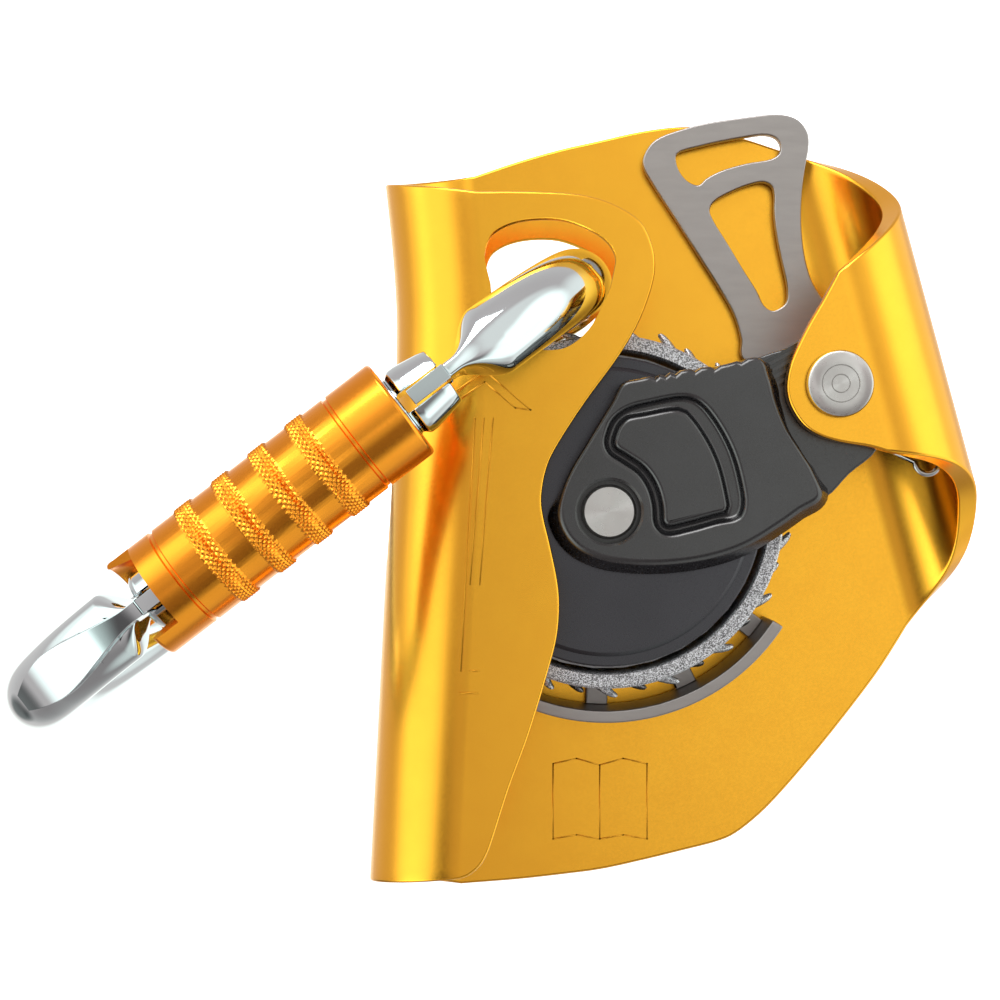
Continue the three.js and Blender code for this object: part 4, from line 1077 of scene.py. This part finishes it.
def spiked_ring():
    inner, outer, half = WHEEL_RADIUS - RING_THICKNESS, WHEEL_RADIUS, WHEEL_WIDTH / 2
    edge = 0.28
    band_steps = 216
    shading_angle = 40
    slope_start = 0.5
    slope_end = 0.9
    profile = [(inner, -half + edge), (inner + edge, -half), (outer - edge, -half), (outer, -half + edge)]
    profile += [(radius, -along) for radius, along in reversed(profile)]
    band = lathe(profile, band_steps, closed=True)
    # The sloping chamfer faces take the near-white steel: painted highlight along both rims
    for face in band.data.polygons:
        if slope_start < abs(face.normal[1]) < slope_end:
            face.material_index = 1
    thorns = []
    for i in range(SPIKE_COUNT):
        row = -SPIKE_ROW_OFFSET if i % 2 == 0 else SPIKE_ROW_OFFSET
        thorns.append(thorn(2 * math.pi * i / SPIKE_COUNT, row))
    ring = union(band, *thorns)
    return placed(sharpened(ring, shading_angle), WHEEL_X, 0, WHEEL_Z, ARM_TILT)


dressed(spiked_ring(), "spiked_ring", "wheel", [cast_steel, ring_chamfer_painted_highlight], ["wheel_ring"])


# Connector, drawn with its long axis along X and its gate leg at the front
LEG_OFFSET = CONNECTOR_WIDTH / 2 - BAR_RADIUS
BEND_START = CONNECTOR_LENGTH / 2 - CONNECTOR_WIDTH / 2
GATE_TOP = BEND_START + GATE_NOSE
GATE_BOTTOM = -BEND_START + GATE_TAIL
BODY_GAP_ANGLE = math.asin((GATE_NOSE + SEAT) / LEG_OFFSET)
HEAD_START = GATE_TOP - GATE_HEAD_LENGTH
SLEEVE_TOP = HEAD_START - SEAT
SLEEVE_BOTTOM = SLEEVE_TOP - SLEEVE_LENGTH


def on_connector(made):
    return placed(made, *CONNECTOR_PLACE, CONNECTOR_TILT)


def along_leg(made):
    """Lays a piece turned about Y along the gate's leg."""
    made.data.transform(Matrix.Rotation(-math.pi / 2, 4, "Z"))
    made.data.transform(Matrix.Translation(Vector((0, -LEG_OFFSET, 0)) * MM))
    return made


KEEL_SHARES = [(0, 0.22), (0.14, 0.22), (0.36, 0.38), (0.59, 0.57), (0.73, 0.61), (0.86, 0.49), (1, 0.27)]
KEEL_SHARES_SMOOTH = smooth(KEEL_SHARES, steps=5)


def eased(value):
    share = min(max(value, 0), 1)
    return share * share * (3 - 2 * share)


def squared(value, power):
    return math.copysign(abs(value) ** power, value)


def connector_body():
    sides, bend_steps, nose_steps = 64, 44, 24
    edge_round = 0.14
    bore_steps = 48
    least_power = 0.3
    bed_end_share = 0.9
    bed_ease_share = 0.2
    quarter = math.pi / 2

    def ring(angle, x, half, power, bed):
        points = []
        for j in range(sides):
            around = 2 * math.pi * j / sides
            out = BAR_RADIUS * squared(math.cos(around), power)
            reach = LEG_OFFSET + (out * bed if out > 0 else out)
            across = half * squared(math.sin(around), power)
            points.append((x + math.cos(angle) * reach, math.sin(angle) * reach, across))
        return points

    def half_bend(start, nose, keeled):
        """Bend angle, half thickness, squareness and bed of the keel, from the gate to the spine."""
        nose_angle = math.asin((GATE_NOSE + SEAT + start + nose) / LEG_OFFSET)
        angles = [mix(BODY_GAP_ANGLE, nose_angle, i / nose_steps) for i in range(nose_steps)]
        angles += [mix(nose_angle, 2 * quarter, i / bend_steps) for i in range(bend_steps + 1)]
        for angle in angles:
            distance = LEG_OFFSET * math.sin(angle) - GATE_NOSE - SEAT if angle < quarter else LEG_OFFSET
            share = eased((distance - start) / nose)
            bed = 1
            if keeled:
                past = eased((distance / KEEL_LENGTH - bed_end_share) / bed_ease_share)
                bed = mix(KEEL_BED_SHARE, 1, past)
            yield angle, mix(WEB_PLATE / 2, BAR_RADIUS, share), mix(least_power, 1, share), bed

    top = [ring(a - quarter, BEND_START, *rest) for a, *rest in half_bend(NOSE_START, NOSE_LENGTH, False)]
    hinged = [
        ring(3 * quarter - a, -BEND_START, *rest)
        for a, *rest in half_bend(HINGE_NOSE_START, HINGE_NOSE_LENGTH, True)
    ]
    bar = loft(top + hinged[::-1])

    def web(inset, end, index):
        xs = sorted((end * (GATE_TOP - SLOT_DEPTH + inset), end * (GATE_TOP + WEB_ROOT)))
        low = (xs[0], -LEG_OFFSET - WEB_FRONT, -WEB_PLATE / 2)
        high = (xs[1], -LEG_OFFSET + WEB_HEIGHT / 2, WEB_PLATE / 2)
        return block(low, high, index)

    keel = []
    keel_steps = 28
    for i in range(keel_steps + 1):
        share = i / keel_steps
        angle = 3 * quarter - math.asin((GATE_NOSE + SEAT + KEEL_LENGTH * share) / LEG_OFFSET)
        half = BAR_RADIUS * table_at(KEEL_SHARES_SMOOTH, share)
        section = []
        for side, out in ((-1, 0), (-1, BAR_RADIUS), (1, BAR_RADIUS), (1, 0)):
            reach = LEG_OFFSET + out
            section.append((-BEND_START + math.cos(angle) * reach, math.sin(angle) * reach, side * half))
        keel.append(section)

    # The hinge web is built in the dark aluminium: painted shade
    body = union(bar, loft(keel), web(NOSE_WEB_INSET, 1, 0), web(HINGE_WEB_INSET, -1, 1))
    reach = GATE_RIVET_RADIUS + SEAT
    bore = lathe([(0, -WEB_PLATE), (reach, -WEB_PLATE), (reach, WEB_PLATE), (0, WEB_PLATE)], bore_steps)
    bore.data.transform(Matrix.Rotation(math.pi / 2, 4, "X"))
    bore.data.transform(Matrix.Translation(Vector((-BEND_START + HINGE_INSET, -LEG_OFFSET, 0)) * MM))
    body = cut(body, bore)
    return on_connector(sharpened(rounded(body, edge_round, segments=2)))


dressed(
    connector_body(), "oval_bar", "connector", [polished, web_painted_shade], ["connector_body"]
)


def gate():
    edge = 0.9
    edge_round = 0.3
    taper_start = 5.5 * edge
    taper = 0.65 * edge
    crown = 1.6 * edge
    top, bottom = GATE_TOP + PRONG_REACH, GATE_BOTTOM - TAIL_REACH
    profile = [(0, bottom), (GATE_RADIUS - edge, bottom), (GATE_RADIUS, bottom + edge)]
    profile += [(GATE_RADIUS, HEAD_START), (GATE_HEAD_RADIUS - edge, HEAD_START)]
    profile += [(GATE_HEAD_RADIUS, HEAD_START + edge), (GATE_HEAD_RADIUS, top - taper_start)]
    profile += [(GATE_HEAD_RADIUS - taper, top - crown), (GATE_HEAD_RADIUS - edge, top), (0, top)]
    barrel = along_leg(lathe(profile))
    half = WEB_PLATE / 2 + SEAT
    front, back = -LEG_OFFSET - 2 * BAR_RADIUS, -LEG_OFFSET + 2 * BAR_RADIUS
    slots = []
    for end in (1, -1):
        xs = sorted((end * (GATE_TOP + TAIL_REACH + OVERRUN), end * (GATE_TOP - SLOT_DEPTH)))
        slots.append(block((xs[0], front, -half), (xs[1], back, half)))
    return on_connector(sharpened(rounded(cut(barrel, *slots), edge_round)))


dressed(gate(), "gate_bar", "gate", [polished], ["gate_barrel"])


# Sleeve with diamond knurling on its four bands
def locking_sleeve():
    diamonds = 54
    sides = 6 * diamonds
    knurl_rows = 18
    knurl_height = 0.3
    knurl_power = 0.8
    shading_angle = 35
    notch_steps = 24
    edge = 0.6
    lip_steps = 4
    angles = [math.pi / 2 * i / lip_steps for i in range(lip_steps + 1)]
    lip = [(edge * (1 - math.sin(a)), edge * (1 - math.cos(a))) for a in angles]
    profile = [(SLEEVE_BORE, SLEEVE_BOTTOM + SLEEVE_FLARE_LENGTH, 0)]
    profile += [(SLEEVE_BORE + SLEEVE_FLARE, SLEEVE_BOTTOM + SEAT / 2, 0)]

    def groove(at):
        quarter = GROOVE_WIDTH / 4
        return [
            (SLEEVE_RADIUS, at - 2 * quarter, 0), (SLEEVE_RADIUS - SLEEVE_GROOVE, at - quarter, 0),
            (SLEEVE_RADIUS - SLEEVE_GROOVE, at + quarter, 0), (SLEEVE_RADIUS, at + 2 * quarter, 0),
        ]

    profile += [(SLEEVE_RADIUS - low, SLEEVE_BOTTOM + rise, 0) for low, rise in lip]
    profile += groove(SLEEVE_BOTTOM + END_GROOVE_INSET)
    for i in range(BAND_COUNT):
        start = SLEEVE_BOTTOM + FIRST_BAND_INSET + BAND_PITCH * i
        profile.append((SLEEVE_RADIUS, start, 0))
        for k in range(knurl_rows + 1):
            along = start + BAND_HEIGHT + (BAND_WIDTH - 2 * BAND_HEIGHT) * k / knurl_rows
            profile.append((SLEEVE_RADIUS + BAND_HEIGHT - knurl_height, along, knurl_height))
        profile.append((SLEEVE_RADIUS, start + BAND_WIDTH, 0))
    profile += groove(SLEEVE_TOP - END_GROOVE_INSET)
    profile += [(SLEEVE_RADIUS - low, SLEEVE_TOP - drop, 0) for drop, low in lip]
    profile += [(SLEEVE_BORE, SLEEVE_TOP, 0)]

    def wave(value):
        return abs((value % 1) - 0.5) * 2

    pitch = 2 * math.pi * SLEEVE_RADIUS / diamonds
    rings = []
    for radius, along, height in profile:
        ring = []
        for j in range(sides):
            share = j / sides * diamonds
            shift = along / pitch
            raised = height * min(wave(share + shift), wave(share - shift)) ** knurl_power
            angle = 2 * math.pi * j / sides
            reach = radius + raised
            ring.append((reach * math.cos(angle), along, reach * math.sin(angle)))
        rings.append(ring)
    sleeve = along_leg(loft(rings, closed=True))
    opening = [(0, 0), *arc(2 * SLEEVE_RADIUS, NOTCH_START, NOTCH_END, notch_steps)]
    notch = along_leg(prism(opening, SLEEVE_BOTTOM + NOTCH_DEPTH, NOTCH_DEPTH + OVERRUN))
    return on_connector(sharpened(cut(sleeve, notch), shading_angle))


dressed(locking_sleeve(), "knurled_sleeve", "sleeve", [orange], ["locking_sleeve"])


# Inner pieces keep their own shapes
INNER_STEEL_NODES = [
    "ratchet_drum", "wheel_web", "pawl_pin_1", "pawl_pin_2", "pawl_1", "pawl_2", "gate_plunger", "guide_pin",
]
INNER = [
    (bronze, "bearing_bronze", ["pivot_bush", "wheel_bearing", "sleeve_collar"]),
    (turned_steel, "turned_steel", ["gate_rivet"]),
    (spring_steel, "spring_steel", ["gate_spring", "sleeve_spring"]),
    (inner_steel, "inner_steel", INNER_STEEL_NODES),
]
for material, slot_name, nodes in INNER:
    for node in nodes:
        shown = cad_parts[node]
        shown.data.materials.clear()
        shown.data.materials.append(material)


# Floor, light and camera
FLOOR_DROP = 92.0
FLOOR_NEAR = -2500.0
FLOOR_FAR = 3000.0
FLOOR_HALF = 2500.0
FLOOR_GLOW = 0.3
DOME_RADIUS = 4500.0
DOME_GLOW = 1
LAMP_PLACE = (-0.15, -0.35, 0.6)
LAMP_TARGET = (0.01, 0, 0)
LAMP_SIZE = 0.4
LAMP_POWER = 3
CAMERA_PLACE = (0.0068, -0.3235, 0.0017)
CAMERA_LENS = 77.9
CAMERA_SENSOR = 36
CAMERA_NEAR = 0.01
CAMERA_FAR = 10


def pale(mesh, grain, glow):
    """Puts a pale surface with a glow of its own on a mesh of the surroundings."""
    material = metal("pale_" + mesh.name, "F6F6F6", 0.8, metallic=0.0, grain=grain, shade=0.01)
    shader = material.node_tree.nodes["Principled BSDF"]
    shader.inputs["Emission Color"].default_value = (1, 1, 1, 1)
    shader.inputs["Emission Strength"].default_value = glow
    mesh.materials.append(material)


def plain_floor():
    half, near, far = FLOOR_HALF, FLOOR_NEAR, FLOOR_FAR
    corners = [(-half, near), (half, near), (half, far), (-half, far)]
    mesh = bpy.data.meshes.new("floor")
    mesh.from_pydata([tuple(Vector((x, y, -FLOOR_DROP)) * MM) for x, y in corners], [], [(0, 1, 2, 3)])
    pale(mesh, 40, FLOOR_GLOW)
    floor = linked("floor", mesh)
    floor.visible_glossy = False


def backdrop():
    """A pale dome that only the camera sees."""
    work = bmesh.new()
    bmesh.ops.create_icosphere(work, subdivisions=4, radius=DOME_RADIUS * MM)
    mesh = bpy.data.meshes.new("backdrop")
    work.to_mesh(mesh)
    work.free()
    pale(mesh, 4, DOME_GLOW)
    dome = linked("backdrop", mesh)
    dome.visible_glossy = False
    dome.visible_diffuse = False
    dome.visible_transmission = False
    dome.visible_shadow = False


def top_box():
    light = bpy.data.lights.new("top_box", "AREA")
    light.size = LAMP_SIZE
    light.energy = LAMP_POWER
    made = linked("top_box", light)
    made.location = LAMP_PLACE
    made.rotation_mode = "QUATERNION"
    made.rotation_quaternion = (Vector(LAMP_TARGET) - Vector(LAMP_PLACE)).to_track_quat("-Z", "Y")
    made.visible_camera = False


# Light of the studio by direction: where it comes from, its edge and its core as the cosine
# of the angle from there, and how much it adds. A tall light reaches further up and down.
BASE_LIGHT = (0.61, 0.53, 0.52)
LOBE_COLOUR = (1.0, 1.15, 1.08)
SHADE_COLOUR = (1.0, 0.87, 0.85)
TALL_SHARE = 0.45
STUDIO_LIGHT = [
    ((0, 1, 0), 0.8, 0.93, 0.5),
    ((0, 1, 0), 0.1, 0.8, 0.12),
    ((-0.45, -0.66, 0.6), 0.85, 0.965, 0.7),
    ((0, -0.97, 0.25), 0.94, 0.985, 0.26),
    ((0, -1, 0.03), 0.978, 0.997, -0.26),
    ((-0.42, -0.84, -0.34), 0.95, 0.988, -0.5),
    ((-0.74, -0.34, -0.57), 0.87, 0.95, 0.8),
    ((-0.67, 0.55, -0.5), 0.93, 0.985, -0.5),
    ((0.68, -0.5, 0.53), 0.79, 0.9, 0.3),
    ((-0.97, -0.03, 0.26), 0.9, 0.985, 0.6),
    ((0.42, -0.15, -0.89), 0.86, 0.97, 0.45),
    ((0.069, -0.991, -0.113), 0.9936, 0.999, 0.33),
    ((0.39, -0.77, -0.5), 0.85, 0.96, -0.35),
    ((0, 0, -1), 0.55, 0.9, -0.3),
]
TALL_LIGHT = [
    ((-0.87, -0.5, 0), 0.81, 0.978, 0.85),
    ((0.93, -0.3, 0), 0.85, 0.97, 0.85),
    ((0.242, -0.97, 0), 0.976, 0.996, 0.48),
    ((0.94, 0.34, 0), 0.866, 0.978, 0.4),
]


def studio():
    world = bpy.data.worlds.new("studio")
    bpy.context.scene.world = world
    world.use_nodes = True
    nodes, links = world.node_tree.nodes, world.node_tree.links
    place = nodes.new("ShaderNodeTexCoord")
    lower = nodes.new("ShaderNodeVectorMath")
    lower.operation = "MULTIPLY"
    lower.inputs[1].default_value = (1, 1, TALL_SHARE)
    links.new(place.outputs["Generated"], lower.inputs[0])
    level = None
    sources = (place.outputs["Generated"], lower.outputs["Vector"])
    for lights, source in zip((STUDIO_LIGHT, TALL_LIGHT), sources):
        flat = nodes.new("ShaderNodeVectorMath")
        flat.operation = "NORMALIZE"
        links.new(source, flat.inputs[0])
        for direction, edge, core, amount in lights:
            toward = nodes.new("ShaderNodeVectorMath")
            toward.operation = "DOT_PRODUCT"
            toward.inputs[1].default_value = Vector(direction).normalized()
            links.new(flat.outputs["Vector"], toward.inputs[0])
            lobe = nodes.new("ShaderNodeMapRange")
            lobe.interpolation_type = "SMOOTHSTEP"
            lobe.inputs["From Min"].default_value = edge
            lobe.inputs["From Max"].default_value = core
            links.new(toward.outputs["Value"], lobe.inputs["Value"])
            total = nodes.new("ShaderNodeVectorMath")
            total.operation = "MULTIPLY_ADD"
            tint = LOBE_COLOUR if amount > 0 else SHADE_COLOUR
            total.inputs[1].default_value = [amount * part for part in tint]
            links.new(lobe.outputs["Result"], total.inputs[0])
            total.inputs[2].default_value = BASE_LIGHT
            if level:
                links.new(level, total.inputs[2])
            level = total.outputs["Vector"]
    links.new(level, nodes["Background"].inputs["Color"])


def camera():
    data = bpy.data.cameras.new("camera")
    data.lens = CAMERA_LENS
    data.sensor_width = CAMERA_SENSOR
    data.clip_start = CAMERA_NEAR
    data.clip_end = CAMERA_FAR
    made = linked("camera", data)
    made.location = CAMERA_PLACE
    made.rotation_euler = (math.pi / 2, 0, 0)
    bpy.context.scene.camera = made


plain_floor()
backdrop()
studio()
top_box()
camera()
bpy.context.scene.view_settings.view_transform = "Standard"
